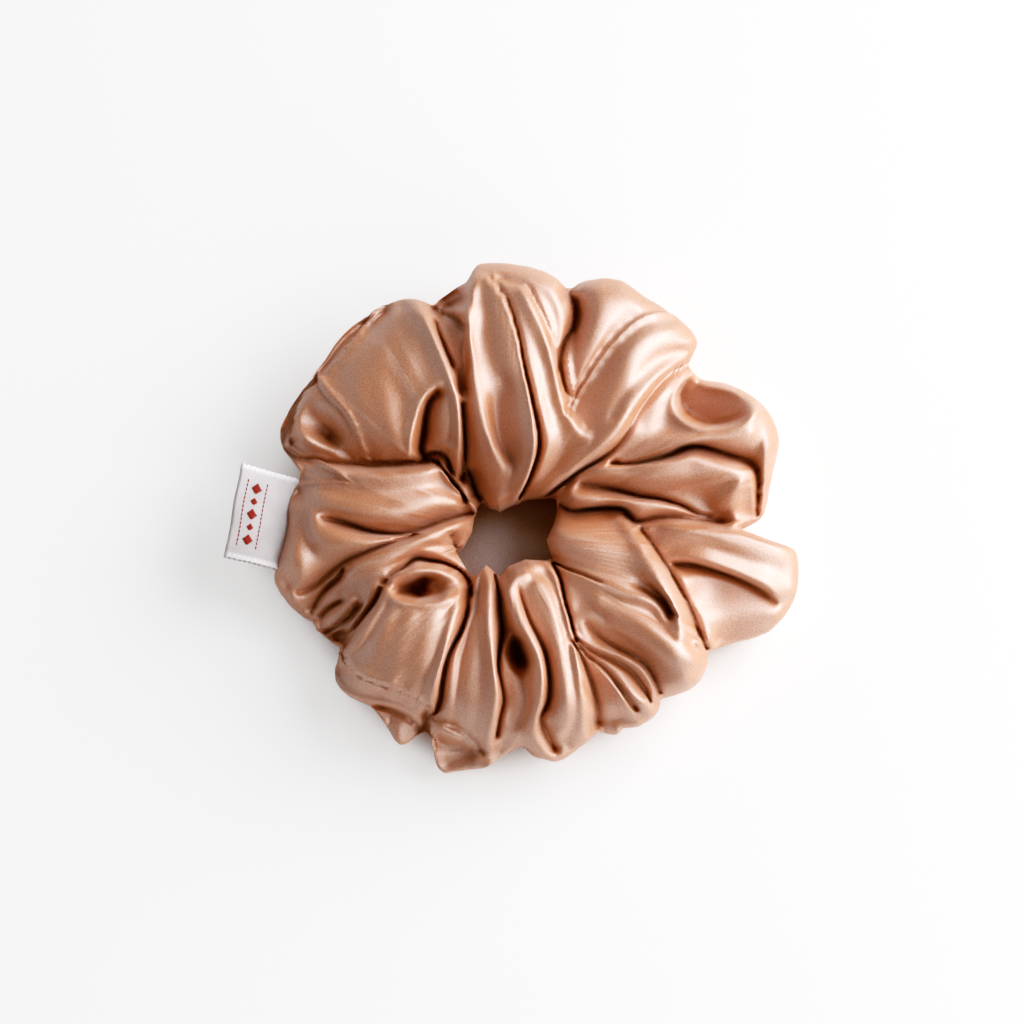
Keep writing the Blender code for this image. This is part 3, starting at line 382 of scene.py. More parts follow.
# across the top, points stand closer together near both edges
ACROSS = np.linspace(0, 1, TOP)
ACROSS = 0.5 - 0.5 * np.cos(np.pi * ACROSS) * (0.62 + 0.38 * np.abs(np.cos(np.pi * ACROSS)) ** 3)
RADII = OUTER[:, None] + (INNER - OUTER)[:, None] * ACROSS[None, :]
RIGHT = CENTRE[0] + RADII * np.cos(ANGLES)[:, None]
UP = CENTRE[1] + RADII * np.sin(ANGLES)[:, None]
DRAWN = np.column_stack([RIGHT.ravel(), UP.ravel()])


def roll_off(z, edge, distance, width):
    """Rounds heights off to the edge's height within a width of it."""
    x = np.clip(1 - distance / width, 0, 1)
    return edge[:, None] + (z - edge[:, None]) * np.sqrt(1 - x * x)


def cover_top():
    """The top's x, y, z, its edge heights outside and at the hole, and the rim's ripple."""
    z = fold_height(DRAWN).reshape(RADII.shape)
    # the outer edge dips where a crease runs over the rim and rises where a crest does
    ring = np.array([np.interp(OUTER[i] - 4.0, RADII[i, ::-1], z[i, ::-1]) for i in range(AROUND)])
    ripple = rounded(ring - rounded(ring, AROUND // 9), 4)
    outer_z = 14.0 + 4.5 * np.sin(ANGLES) + np.clip(0.85 * ripple, -5.5, 3.2)
    outer_z = rounded(np.maximum(np.minimum(outer_z, rounded(ring, 2) - 2.5), 4.5), 3)
    hole_z = 13.0 - 3.0 * np.sin(ANGLES)
    z = roll_off(z, outer_z, OUTER[:, None] - RADII, 3.5)
    z = roll_off(z, hole_z, RADII - INNER[:, None], 3.5)
    # the eye is not infinitely far away, so what is nearer to it is drawn smaller
    towards_eye = (z - VIEW_COS * UP) / VIEW_SIN
    shrink = 1 - towards_eye / VIEW_DISTANCE
    x, up = RIGHT * shrink, UP * shrink
    return x, (up - VIEW_COS * z) / VIEW_SIN, z, outer_z, hole_z, ripple


def under_folds(angle, across):
    """Narrow wandering gathers on the underside, from 0 (crease) to 1 (crest)."""
    wander = (0.10 * np.sin(3 * angle + 1.0) + 0.07 * np.sin(7 * angle + 2.2)
              + 0.05 * np.sin(5 * angle - 3.0 * across))
    fine = np.abs(np.cos(17 * (angle + wander) + 0.9 * np.sin(2.2 * across + 2 * angle))) ** 0.7
    wide = np.abs(np.cos(8.5 * (angle + 1.4 * wander) + 0.5)) ** 0.8
    return 0.55 * fine + 0.45 * wide


def cover_underside(x, y, outer_z, hole_z, ripple):
    """The underside's x, y, z, from the hole back to the outer edge of the given top."""
    v = np.linspace(0, 1, LOW + 2)[1:-1]
    v = 0.5 - 0.5 * np.cos(np.pi * v)
    hole_x, hole_y, outer_x, outer_y = x[:, -1], y[:, -1], x[:, 0], y[:, 0]
    x = hole_x[:, None] + (outer_x - hole_x)[:, None] * v
    y = hole_y[:, None] + (outer_y - hole_y)[:, None] * v
    width = (OUTER - INNER)[:, None]
    from_hole, from_outer = v[None, :] * width, (1 - v)[None, :] * width
    angle = ANGLES[:, None]
    # gathers, deepest away from the outer edge
    lobes = rounded(OUTER, 3) - rounded(OUTER, AROUND // 12)
    deep = 0.5 + 0.5 * np.clip(from_outer / 14.0, 0, 1)
    deep = deep * (0.8 + 0.2 * np.sin(5 * ANGLES + 1.3))[:, None]
    z = 3.1 - 0.35 * np.clip(lobes, -2.5, 2.5)[:, None]
    z = z - 2.6 * deep * under_folds(angle, v[None, :])
    z = roll_off(z, outer_z, from_outer, 9.0 + 2.2 * np.sin(4 * ANGLES + 0.5)[:, None])
    z = roll_off(z, hole_z, from_hole, 8.0)
    # the top's creases run on down the outer wall and draw it in, and puckers join them
    crease = rounded(np.clip((1.0 - ripple) / 6.5, -0.35, 1.0), 2)
    drift = 0.06 * np.sin(4 * angle + 0.7) + 0.016 * np.sin(6 * angle + 1.1) * from_outer
    pucker = np.abs(np.sin(19 * (angle + drift))) ** 0.6 * (0.55 + 0.45 * np.sin(5 * angle + 2.0))
    slant = np.sin(13 * angle + 2.0 * np.sin(3 * angle) + 0.30 * from_outer)
    wall = -3.0 * crease[:, None] + 1.9 * (pucker - 0.4) + 0.5 * slant
    share = np.exp(-((from_outer - 1.9) / 2.9) ** 2) * np.clip(from_outer / 0.9, 0, 1)
    far = np.hypot(outer_x, outer_y)
    x += (outer_x / far)[:, None] * wall * share
    y += (outer_y / far)[:, None] * wall * share
    return x, y, np.maximum(z, 0.25)


def cover_grid():
    """Positions of the whole closed grid."""
    x, y, z, *edges = cover_top()
    grid = np.empty((AROUND, TOP + LOW, 3))
    grid[:, :TOP] = np.stack([x, y, z], 2)
    grid[:, TOP:] = np.stack(cover_underside(x, y, *edges), 2)
    return grid


def relax(grid, passes, share=0.5):
    """Each pass moves every point a share of the way to the middle of its four neighbours."""
    for _ in range(passes):
        mean = (np.roll(grid, 1, 0) + np.roll(grid, -1, 0)
                + np.roll(grid, 1, 1) + np.roll(grid, -1, 1)) / 4
        grid = grid + (mean - grid) * share
    return grid


def flatten_panels(grid):
    """Pulls the fabric even round each panel line, and leaves the folds themselves alone."""
    panel = nearest(DRAWN, fold_samples("P"))[0].reshape(RADII.shape)
    line = nearest(DRAWN, fold_samples("RCV"))[0].reshape(RADII.shape)
    edge = np.minimum(OUTER[:, None] - RADII, RADII - INNER[:, None])
    share = (np.clip(1.35 - panel / 7.0, 0, 1) * np.clip((line - 0.8) / 2.2, 0, 1)
             * np.clip((edge - 1.5) / 3.0, 0, 1))
    share = np.hstack([share, np.zeros((AROUND, LOW))])[:, :, None] * 0.8
    return relax(grid, 36, share)


def grid_normals(grid):
    """Outward unit normals of the closed grid."""
    n = np.cross(np.roll(grid, -1, 1) - np.roll(grid, 1, 1),
                 np.roll(grid, -1, 0) - np.roll(grid, 1, 0))
    return n / (np.linalg.norm(n, axis=2)[:, :, None] + 1e-12)


def on_grid(grid, places):
    """Values on the grid at rows of fractional (station, loop place)."""
    n, m = grid.shape[:2]
    station, place = places[:, 0], places[:, 1]
    i, j = np.floor(station).astype(int), np.floor(place).astype(int)
    s, t = (station - i)[:, None], (place - j)[:, None]
    i, j, i2, j2 = i % n, j % m, (i + 1) % n, (j + 1) % m
    return ((grid[i, j] * (1 - s) + grid[i2, j] * s) * (1 - t)
            + (grid[i, j2] * (1 - s) + grid[i2, j2] * s) * t)


# ---- meshes ----

def link_object(name, data):
    obj = bpy.data.objects.new(name, data)
    bpy.context.scene.collection.objects.link(obj)
    return obj


def assign(target, **values):
    """Sets several attributes, in the order given."""
    for name, value in values.items():
        setattr(target, name, value)


def grid_mesh(name, grid, scale=MM):
    """A closed grid as a smooth object."""
    n, m = grid.shape[:2]
    i, j = np.arange(n)[:, None], np.arange(m)[None, :]
    i2, j2 = (i + 1) % n, (j + 1) % m
    corners = [i * m + j, i * m + j2, i2 * m + j2, i2 * m + j]
    faces = np.stack(corners, 2).reshape(-1, 4)
    mesh = bpy.data.meshes.new(name)
    mesh.vertices.add(n * m)
    mesh.vertices.foreach_set("co", (grid.reshape(-1, 3) * scale).astype(np.float32).ravel())
    mesh.loops.add(faces.size)
    mesh.loops.foreach_set("vertex_index", faces.astype(np.int32).ravel())
    mesh.polygons.add(len(faces))
    mesh.polygons.foreach_set("loop_start", (np.arange(len(faces)) * 4).astype(np.int32))
    mesh.polygons.foreach_set("use_smooth", np.ones(len(faces), bool))
    mesh.update(calc_edges=True)
    return link_object(name, mesh)


def add_grid_uv(mesh, grid):
    """The "cloth" UV map: u runs round the ring and v across the fabric, both in metres."""
    n, m = grid.shape[:2]
    i, j = np.arange(n)[:, None], np.arange(m)[None, :]
    i2 = (i + 1) % n
    step = np.linalg.norm(np.roll(grid, -1, 1) - grid, axis=2)
    run = np.hstack([np.zeros((n, 1)), np.cumsum(step, 1)]) * MM
    near, far = i + 0 * j, i + 1 + 0 * j
    u = np.stack([near, near, far, far], 2) / n * 0.25
    v = np.stack([run[i, j], run[i, j + 1], run[i2, j + 1], run[i2, j]], 2)
    layer = mesh.uv_layers.new(name="cloth")
    layer.data.foreach_set("uv", np.stack([u, v], 3).astype(np.float32).ravel())


def cloth_bmesh():
    bm = bmesh.new()
    bm.loops.layers.uv.new("cloth")
    return bm


RINGS_FIRST = ((0, 0), (1, 0), (1, 1), (0, 1))       # corner order of a face, as (ring, point)
POINTS_FIRST = ((0, 0), (0, 1), (1, 1), (1, 0))


def skin(bm, rings, uv_at, corners=RINGS_FIRST):
    """Joins closed rings of points with smooth faces; uv_at(ring, point) gives the UV."""
    uv = bm.loops.layers.uv["cloth"]
    verts = [[bm.verts.new(point * MM) for point in ring] for ring in rings]
    count = len(rings[0])
    for i in range(len(rings) - 1):
        for j in range(count):
            spots = [(i + di, j + dj) for di, dj in corners]
            face = bm.faces.new([verts[a][b % count] for a, b in spots])
            face.smooth = True
            for loop, spot in zip(face.loops, spots):
                loop[uv].uv = uv_at(*spot)
    return verts


def cap_ends(bm, verts):
    bm.faces.new(verts[0][::-1])
    bm.faces.new(verts[-1])


def bmesh_object(name, bm, outwards=True):
    """Turns a bmesh into a linked object, by default with its faces looking outwards."""
    if outwards:
        bmesh.ops.recalc_face_normals(bm, faces=bm.faces)
    mesh = bpy.data.meshes.new(name)
    bm.to_mesh(mesh)
    bm.free()
    return link_object(name, mesh)


def thread_mesh(name, lines, radius, sides=7, twist=2.2):
    """Threads along these lines, as one mesh, fluted along a helix as yarn is."""
    bm = cloth_bmesh()
    for line in lines:
        p = np.asarray(line, float)
        tangent = np.gradient(p, axis=0)
        tangent /= np.linalg.norm(tangent, axis=1)[:, None] + 1e-12
        up = np.array([0.0, 0.0, 1.0] if abs(tangent[0, 2]) < 0.9 else [1.0, 0.0, 0.0])
        rings = []
        run = 0.0
        for k in range(len(p)):
            if k:
                run += np.linalg.norm(p[k] - p[k - 1])
            side = np.cross(tangent[k], up)
            side /= np.linalg.norm(side) + 1e-12
            up = np.cross(side, tangent[k])
            taper = 0.55 if k in (0, len(p) - 1) else 1.0
            ring = []
            for j in range(sides):
                a = 2 * math.pi * j / sides
                r = radius * taper * (1 + 0.14 * math.cos(2 * a + twist * run / radius * 0.35))
                ring.append(p[k] + r * (math.cos(a) * side + math.sin(a) * up))
            rings.append(ring)
        cap_ends(bm, skin(bm, rings, lambda k, j: (k * 0.0003, j / sides * 0.0006), POINTS_FIRST))
    return bmesh_object(name, bm)


# ---- settling the cover ----

SETTLE_FRAMES = 12
SETTLE_SCALE = MM * 20.0             # the cloth is simulated at twenty times its size


def settle(grid):
    """A short cloth simulation on every other grid line: the fabric is a little too long, is
    blown up slightly and can't pass through itself, and a soft hold keeps the folds in place.
    Returns how far each point of the full grid moves."""
    n, m = grid.shape[:2]
    coarse = grid[::2, ::2]
    coarse_n, coarse_m = coarse.shape[:2]
    obj = grid_mesh("settling_cover", coarse, SETTLE_SCALE)
    group = obj.vertex_groups.new(name="hold")
    group.add(range(coarse_n * coarse_m), 0.6, "REPLACE")
    modifier = obj.modifiers.new("cloth", "CLOTH")
    assign(
        modifier.settings,
        quality=5, mass=0.25, air_damping=6.0,
        tension_stiffness=18.0, compression_stiffness=18.0, shear_stiffness=6.0,
        bending_model="ANGULAR", bending_stiffness=5.0,
        tension_damping=10.0, compression_damping=10.0, shear_damping=10.0, bending_damping=1.0,
        vertex_group_mass="hold", pin_stiffness=1.2,
        shrink_min=-0.012,           # negative: the fabric grows
        use_pressure=True, uniform_pressure_force=1.2,
    )
    modifier.settings.effector_weights.gravity = 0.15
    assign(modifier.collision_settings, use_collision=False, use_self_collision=True,
           self_distance_min=0.006, self_friction=3.0)
    assign(modifier.point_cache, frame_start=1, frame_end=SETTLE_FRAMES)
    scene = bpy.context.scene
    for f in range(1, SETTLE_FRAMES + 1):
        scene.frame_set(f)
    settled = obj.evaluated_get(bpy.context.evaluated_depsgraph_get()).to_mesh()
    co = np.empty(len(settled.vertices) * 3, np.float32)
    settled.vertices.foreach_get("co", co)
    moved = co.reshape(coarse_n, coarse_m, 3) / SETTLE_SCALE - coarse
    bpy.data.objects.remove(obj, do_unlink=True)
    scene.frame_set(1)
    # no drift of the whole, and no point moves more than 1 mm
    moved -= moved.mean((0, 1))
    far = np.linalg.norm(moved, axis=2)[:, :, None]
    moved = relax(moved * np.minimum(1, 1.0 / (far + 1e-9)), 7)
    # from every other line to every line
    full = np.empty((n, m, 3))
    full[::2, ::2] = moved
    full[1::2, ::2] = (moved + np.roll(moved, -1, 0)) / 2
    full[:, 1::2] = (full[:, ::2] + np.roll(full[:, ::2], -1, 1)) / 2
    # the gathers are held tight round the hole
    near_hole = 1 - np.exp(-((np.arange(m) - TOP) / (0.30 * TOP)) ** 2)
    return full * near_hole[None, :, None]


# ---- seams: paths of (station, loop place) ----

STITCH_PITCH = 2.4
STITCH_SHARE = 0.72                  # how much of the pitch a visible stitch takes
STITCH_LIFT = 0.20
STITCH_RADIUS = 0.13
SEAM_END = 1.5                       # left without stitches at each end
GROOVE_DEPTH, GROOVE_WIDTH = 0.80, 0.5


def station_at(degrees):
    return degrees / 360 * AROUND


def loop_place(station, radius):
    """The loop place on the top of the grid at this distance from the centre."""
    i = int(round(station)) % AROUND
    u = (OUTER[i] - radius) / (OUTER[i] - INNER[i])
    return float(np.interp(u, ACROSS, np.arange(TOP)))


def drawn_places(name):
    """Station and loop place of each point of a fold."""
    points = next(points for _, other, points in FOLDS if other == name)
    out = []
    for point in points:
        v = np.array(point[:2]) - CENTRE
        station = station_at(math.degrees(math.atan2(v[1], v[0])) % 360)
        out.append((station, loop_place(station, np.hypot(*v))))
    return out


def lengthwise_seam():
    """Runs all round the tube, low on the outer wall, and comes up over the rim in four places."""
    wall = -1.0 * 1.2

    def low(*degrees):
        return [(station_at(d), wall) for d in degrees]

    drawn = drawn_places("c_seam")
    path = low(20, 35, 46) + sorted(drawn[::2] + drawn[-1:])
    path += [(station_at(70), loop_place(station_at(70), 40.0)), (station_at(76), 2.0)]
    path += low(82, 95, 108)
    path += sorted(drawn_places("k_out_seam")) + sorted(drawn_places("j_seam"))
    path += [(station_at(173), 1.0)] + low(178, 190, 204)
    path += sorted(drawn_places("i_seam"))
    path += [(station_at(251), 2.0)] + low(257, 275, 295, 315, 335, 352)
    keep = [path[0]]
    for p in path[1:]:
        if p[0] > keep[-1][0] + 0.6:
            keep.append(p)
    return keep


def closing_seam():
    """Joins the tube's two ends: once round the tube, across the lengthwise seam."""
    drawn = drawn_places("k_close_seam")
    start = drawn[0][0]
    path = [(start - 6, -3.0), (start - 3, 1.0)] + drawn
    # from there it lies hidden in a crease, all the way to the hole
    path += drawn_places("k_j")[6::2]
    path += [(station_at(145), TOP - 1.0)]
    path += [(station_at(142), TOP + LOW * t) for t in (0.2, 0.4, 0.6, 0.8)]
    path += [(start - 6, TOP + LOW - 3.0)]
    return path


def seam_line(grid, path, closed, step=0.2):
    """Places about a step apart on a smooth curve through the path, and their distances along it."""
    p = np.array(path, float)
    if closed:
        turn = np.array([AROUND, 0.0])
        places = catmull_rom(np.vstack([p[-1] - turn, p, p[0] + turn, p[1] + turn]), lambda *_: 24)
    else:
        knots = with_end_knots(p)
        places = np.vstack([catmull_rom(knots, lambda *_: 24), knots[-2:-1]])
    positions = on_grid(grid, places)
    along = np.insert(np.cumsum(np.linalg.norm(np.diff(positions, axis=0), axis=1)), 0, 0)
    distances = np.linspace(0, along[-1], int(along[-1] / step))
    columns = [np.interp(distances, along, places[:, k]) for k in range(2)]
    return np.column_stack(columns), distances


def press_seam(grid, places, distances):
    """Draws the fabric in along a seam: a narrow groove, a ledge beside it, and small puckers."""
    line = on_grid(grid, places)
    tree = kdtree.KDTree(len(line))
    for k, p in enumerate(line):
        tree.insert(p, k)
    tree.balance()
    low, high = line.min(0) - 3, line.max(0) + 3
    inside = np.where(((grid > low) & (grid < high)).all(2).ravel())[0]
    flat, normals = grid.reshape(-1, 3), grid_normals(grid).reshape(-1, 3)
    tangent = np.gradient(line, axis=0)
    tangent /= np.linalg.norm(tangent, axis=1)[:, None] + 1e-9
    moved = flat.copy()
    for i in inside:
        _, k, d = tree.find(flat[i])
        if d > 3.0:
            continue
        side = float(np.dot(np.cross(tangent[k], normals[i]), flat[i] - line[k]))
        s, place = distances[k], places[k, 1]
        # weak at the outer edge, even underneath, and nothing at the edge of the hole
        fade = 0.25 + 1.05 * min(1.0, max(0.0, (place - 0.5) / 5.0)) if place < TOP else 0.5
        fade *= min(1.0, max(0.0, abs(place - TOP) - 2.0) / 7.0)
        pull = 0.86 + 0.14 * math.cos(2 * math.pi * s / STITCH_PITCH)
        groove = GROOVE_DEPTH * pull * math.exp(-((d / GROOVE_WIDTH) ** 2))
        if side > 0:
            sign, lip = 1.0, -0.14 * math.exp(-(((d - 0.7) / 0.8) ** 2))
        else:
            sign, lip = -1.0, 0.46 * math.exp(-(((d - 0.8) / 1.25) ** 2))
        wave = math.sin(2 * math.pi * s / 3.3 + 1.3 * math.sin(s * 0.7) + 1.1 * sign)
        pucker = 0.15 * wave * math.exp(-((d / 1.7) ** 2)) * min(1.0, d / 0.6)
        moved[i] = flat[i] - normals[i] * (groove - lip + pucker) * max(0.0, fade)
    return grid + relax(moved.reshape(grid.shape) - grid, 2)


def stitches(grid, places, distances):
    """The visible part of each stitch: it comes up out of the groove and goes down again."""
    line = on_grid(grid, places)
    normals = on_grid(grid_normals(grid), places)
    normals /= np.linalg.norm(normals, axis=1)[:, None] + 1e-9
    rise = np.sin(np.linspace(0, np.pi, 9)) ** 0.5
    out = []
    for k in range(int((distances[-1] - 2 * SEAM_END) / STITCH_PITCH)):
        s = SEAM_END + (k + np.linspace(0, STITCH_SHARE, 9)) * STITCH_PITCH
        p, q = (np.column_stack([np.interp(s, distances, rows[:, c]) for c in range(3)])
                for rows in (line, normals))
        out.append(p + q * (STITCH_LIFT * rise - 0.05)[:, None])
    return out


# ---- the elastic inside, and its lap ----

BAND_INNER, BAND_OUTER = 29.0, 35.0
BAND_Z, BAND_HALF = 5.0, 0.5         # middle height and half thickness
LAP_START, LAP_END = 129.0, 153.0    # degrees
LAP_RISE = 1.06


def band_height(degrees):
    """The band lies flat, and its far end climbs onto its near end for the lap."""
    t = np.clip((degrees - (360 + LAP_START - 9.0)) / 8.0, 0, 1)
    return BAND_Z + LAP_RISE * t * t * (3 - 2 * t)


def elastic_band():
    """One strip, once round and a lap further, with ribs along it and small knitted bumps."""
    n = 1040
    half_width = (BAND_OUTER - BAND_INNER) / 2
    across = np.linspace(-1, 1, 33)
    edge = np.sqrt(np.clip(1 - np.abs(across) ** 14, 0, 1))
    ribs = np.abs(np.sin(across * 4 * math.pi))
    phase = np.where(np.floor(across * 4) % 2 == 0, 0, math.pi)
    rings = []
    for d in np.linspace(LAP_START, LAP_END + 360, n):
        z = band_height(d)
        a = math.radians(d)
        turn = 2 * math.pi * d * 2.0
        bumps = 0.05 * np.cos(turn + phase)
        top = (BAND_HALF - 0.12 + 0.10 * ribs + bumps * ribs) * edge
        r = (BAND_INNER + BAND_OUTER) / 2 + across * half_width * (1 + 0.006 * math.cos(turn))
        upper = np.column_stack([r * math.cos(a), r * math.sin(a), z + top])
        lower = np.column_stack([r * math.cos(a), r * math.sin(a), z - top])[::-1][1:-1]
        rings.append(np.vstack([upper, lower]))
    m = len(rings[0])
    bm = cloth_bmesh()
    cap_ends(bm, skin(bm, rings, lambda i, j: (i / n * 0.215, j / m * 0.014)))
    return bmesh_object("elastic_band", bm)


def lap_stitches():
    """A zigzag over the lap, and a short bar tack at each end of it."""
    z = BAND_Z + LAP_RISE + BAND_HALF + 0.16

    def at(degrees, r, rise):
        a = math.radians(degrees)
        return r * math.cos(a), r * math.sin(a), z + rise

    teeth = 13
    corners = [(LAP_START + 2.0 + (LAP_END - LAP_START - 4.0) * k / teeth, 30.1 if k % 2 else 33.9)
               for k in range(teeth + 1)]
    zigzag = [at(*corners[0], -0.04)]
    for (d0, r0), (d1, r1) in zip(corners, corners[1:]):
        zigzag += [at(d0 + (d1 - d0) * t, r0 + (r1 - r0) * t, 0.06) for t in (0.25, 0.5, 0.75)]
        zigzag.append(at(d1, r1, -0.04))
    lines = [zigzag]
    for d in (LAP_START + 0.9, LAP_END - 0.9):
        lines.append([at(d + (0.35 if k % 2 else -0.35), 30.0 + 4.0 * k / 14, 0.0)
                      for k in range(15)])
    return lines


# ---- the label ----

HINGE = np.array([-50.3, -0.6, 15.0])
TURN, RISE = math.radians(10.0), math.radians(12.0)
# unit vectors across the label, from the hinge out to the fold, and out of its upper face
LABEL_W = np.array([math.sin(TURN), math.cos(TURN), 0.0])
LABEL_D = np.array([-math.cos(TURN) * math.cos(RISE), math.sin(TURN) * math.cos(RISE),
                    math.sin(RISE)])
LABEL_N = np.cross(LABEL_W, LABEL_D)
LABEL_LENGTH, LABEL_HALF = 9.67, 10.0
PLY_OFFSET, PLY = 0.5, 0.22          # from the middle plane to each ply, and a ply's thickness
PLY_START = -4.5                     # the plies begin this far behind the hinge


def label_point(w, d, h):
    """A point of the slightly curled and twisted label: w across, d from the hinge to the fold,
    h out of its middle plane."""
    s = np.clip(d / LABEL_LENGTH, -0.3, 1.2)
    side = w / LABEL_HALF
    curl = 0.9 * side * s**2 + 0.35 * np.sin(1.9 * s + 0.4) - 0.30 * np.cos(side * 1.7) * s
    d2 = d + 0.10 * np.sin(w * 0.55 + 0.5) * s + 0.25 * side * s
    w2 = w + 0.25 * s
    return (HINGE + w2[..., None] * LABEL_W + d2[..., None] * LABEL_D
            + (h + curl)[..., None] * LABEL_N)


def label_ribbon():
    """Upper ply, round fold at the free end, lower ply, and woven edges with tiny loops."""
    flat = np.linspace(PLY_START, LABEL_LENGTH - PLY_OFFSET, 60)
    turn = np.radians(np.linspace(90, -90, 17)[1:-1])
    bend = LABEL_LENGTH - PLY_OFFSET + PLY_OFFSET * np.cos(turn)
    mid_d = np.concatenate([flat, bend, flat[::-1]])
    mid_h = np.concatenate([np.full(60, PLY_OFFSET), PLY_OFFSET * np.sin(turn),
                            np.full(60, -PLY_OFFSET)])
    normal_d = np.concatenate([np.zeros(60), np.cos(turn), np.zeros(60)])
    normal_h = np.concatenate([np.ones(60), np.sin(turn), -np.ones(60)])
    length = np.insert(np.cumsum(np.hypot(np.diff(mid_d), np.diff(mid_h))), 0, 0)
    across = np.linspace(-1, 1, 81)
    across = np.sign(across) * (1 - (1 - np.abs(across)) ** 1.35)
    rings = []
    for v in across:
        to_edge = (1 - abs(v)) * LABEL_HALF
        welt = math.exp(-((to_edge - 0.55) / 0.35) ** 2)
        wave = 0.6 + 0.4 * np.sin(length * 2 * math.pi / 1.1 + (2 if v > 0 else 0))
        thick = PLY / 2 + 0.07 * welt * wave
        if to_edge < 0.02:
            thick = thick * 0.45
        loops = 0.28 * np.abs(np.sin(length * math.pi / 1.1)) * max(0.0, 1 - to_edge / 0.7)
        w = v * LABEL_HALF + math.copysign(1, v) * loops
        outside = label_point(w, mid_d + normal_d * thick, mid_h + normal_h * thick)
        inside = label_point(w, mid_d - normal_d * thick, mid_h - normal_h * thick)[::-1]
        rings.append(np.vstack([outside, inside]))
    run = np.concatenate([length, length[::-1]]) * MM
    m = len(run)
    bm = cloth_bmesh()
    verts = skin(bm, rings, lambda i, j: (across[i] * 0.01, run[j % m]))
    for end, order in ((verts[0], 1), (verts[-1], -1)):
        for j in range(m // 2 - 1):
            bm.faces.new((end[j], end[j + 1], end[m - 2 - j], end[m - 1 - j])[::order])
    return bmesh_object("label_ribbon", bm)


def label_motif():
    """Threads on the upper ply: a row of filled diamonds between two running lines."""
    lines = []
    h = 0.5 + 0.11 + 0.05
    t = np.linspace(0, 1, 5)

    def thread(w0, d0, w1, d1):
        rise = 0.03 * np.sin(math.pi * t)
        lines.append(label_point(w0 + (w1 - w0) * t, d0 + (d1 - d0) * t, h + rise))

    middle = 5.6
    for k in range(5):
        w = -5.6 + 2.8 * k
        size = 1.25 if k % 2 == 0 else 0.85
        for q in np.arange(-size + 0.12, size, 0.2):
            half = (size - abs(q)) * 0.95
            if half > 0.12:
                thread(w + q, middle - half, w + q, middle + half)
    for d in (middle - 2.1, middle + 2.1):
        for k in range(16):
            w = -7.2 + 0.92 * k
            thread(w, d, w + 0.66, d)
    return lines


# ---- materials ----

class NodeTree:
    """Builds a node tree. Positional values fill a node's inputs in order. A capitalised keyword
    is an input's name, with _ for a space; a lower-case one is a setting of the node. A socket
    given for an input is linked to it. Helpers return output sockets."""

    def __init__(self, block):
        block.use_nodes = True
        self.block = block
        self.nodes = block.node_tree.nodes
        self.links = block.node_tree.links

    def plug(self, socket, value):
        if isinstance(value, bpy.types.NodeSocket):
            self.links.new(value, socket)
        else:
            socket.default_value = value

    def set(self, node, *operands, **values):
        for socket, value in zip(node.inputs, operands):
            self.plug(socket, value)
        for key, value in values.items():
            if key[0].islower():
                setattr(node, key, value)
            else:
                self.plug(node.inputs[key.replace("_", " ")], value)
        return node

    def add(self, kind, output, *operands, **values):
        node = self.nodes.new("ShaderNode" + kind)
        return self.set(node, *operands, **values).outputs[output]

    def cloth_uv(self, x_scale, y_scale):
        uv = self.add("UVMap", "UV", uv_map="cloth")
        return self.add("Mapping", "Vector", Vector=uv, Scale=(x_scale, y_scale, 1))

    def place(self):
        return self.add("Mapping", "Vector", Vector=self.add("TexCoord", "Object"))

    def noise(self, vector, scale, detail=2.0, roughness=0.5):
        return self.add("TexNoise", "Fac", Vector=vector, Scale=scale, Detail=detail,
                        Roughness=roughness)

    def remap(self, value, to=(0, 1), over=(0.3, 0.7), **settings):
        return self.add("MapRange", "Result", Value=value, From_Min=over[0], From_Max=over[1],
                        To_Min=to[0], To_Max=to[1], **settings)

    def mix(self, factor, first, second):
        return self.add("Mix", "Result", data_type="RGBA", A=(*first, 1), B=(*second, 1),
                        Factor=factor)

    def bump(self, height, strength, distance, **after):
        return self.add("Bump", "Normal", Strength=strength, Distance=distance, Height=height,
                        **after)

    def principled(self, **values):
        self.set(self.nodes["Principled BSDF"], **values)
        return self.block


def material_tree(name):
    return NodeTree(bpy.data.materials.new(name))


def satin_material():
    """Warm brown-pink satin with a broad pale shine, long floats across the tube, a fine grain."""
    tree = material_tree("satin")
    floats = tree.noise(tree.cloth_uv(4600, 1900), scale=1.0, roughness=0.55)
    grain = tree.noise(tree.place(), scale=3400.0, roughness=0.6)
    slow = tree.noise(tree.place(), scale=55.0, detail=3.0, roughness=0.55)
    fine = tree.add("Math", "Value", floats, grain, operation="ADD")
    yarn = tree.remap(fine, over=(0.80, 1.20))
    tone = tree.add("Math", "Value", slow, 0.35, yarn, operation="MULTIPLY_ADD")
    dark, light = (0.42, 0.125, 0.024), (0.58, 0.190, 0.042)
    color = tree.mix(tree.remap(tone, over=(0.1, 1.25)), dark, light)
    weave = tree.bump(floats, strength=0.5, distance=0.00011)
    weave = tree.bump(grain, strength=0.42, distance=0.00010, Normal=weave)
    creases = tree.noise(tree.place(), scale=420.0)
    return tree.principled(
        Base_Color=color,
        Specular_Tint=tree.mix(yarn, (0.69, 0.71, 0.72), (0.94, 0.985, 1.0)),
        Roughness=tree.remap(fine, to=(0.55, 0.67), over=(0.7, 1.3)),
        Normal=tree.bump(creases, strength=0.16, distance=0.00035, Normal=weave),
        Tangent=tree.add("Tangent", "Tangent", direction_type="UV_MAP", uv_map="cloth"),
        IOR=4.4,
        Anisotropic=0.35,
        Sheen_Weight=0.22,
        Sheen_Roughness=0.4,
        Sheen_Tint=(1.0, 0.88, 0.80, 1),
    )


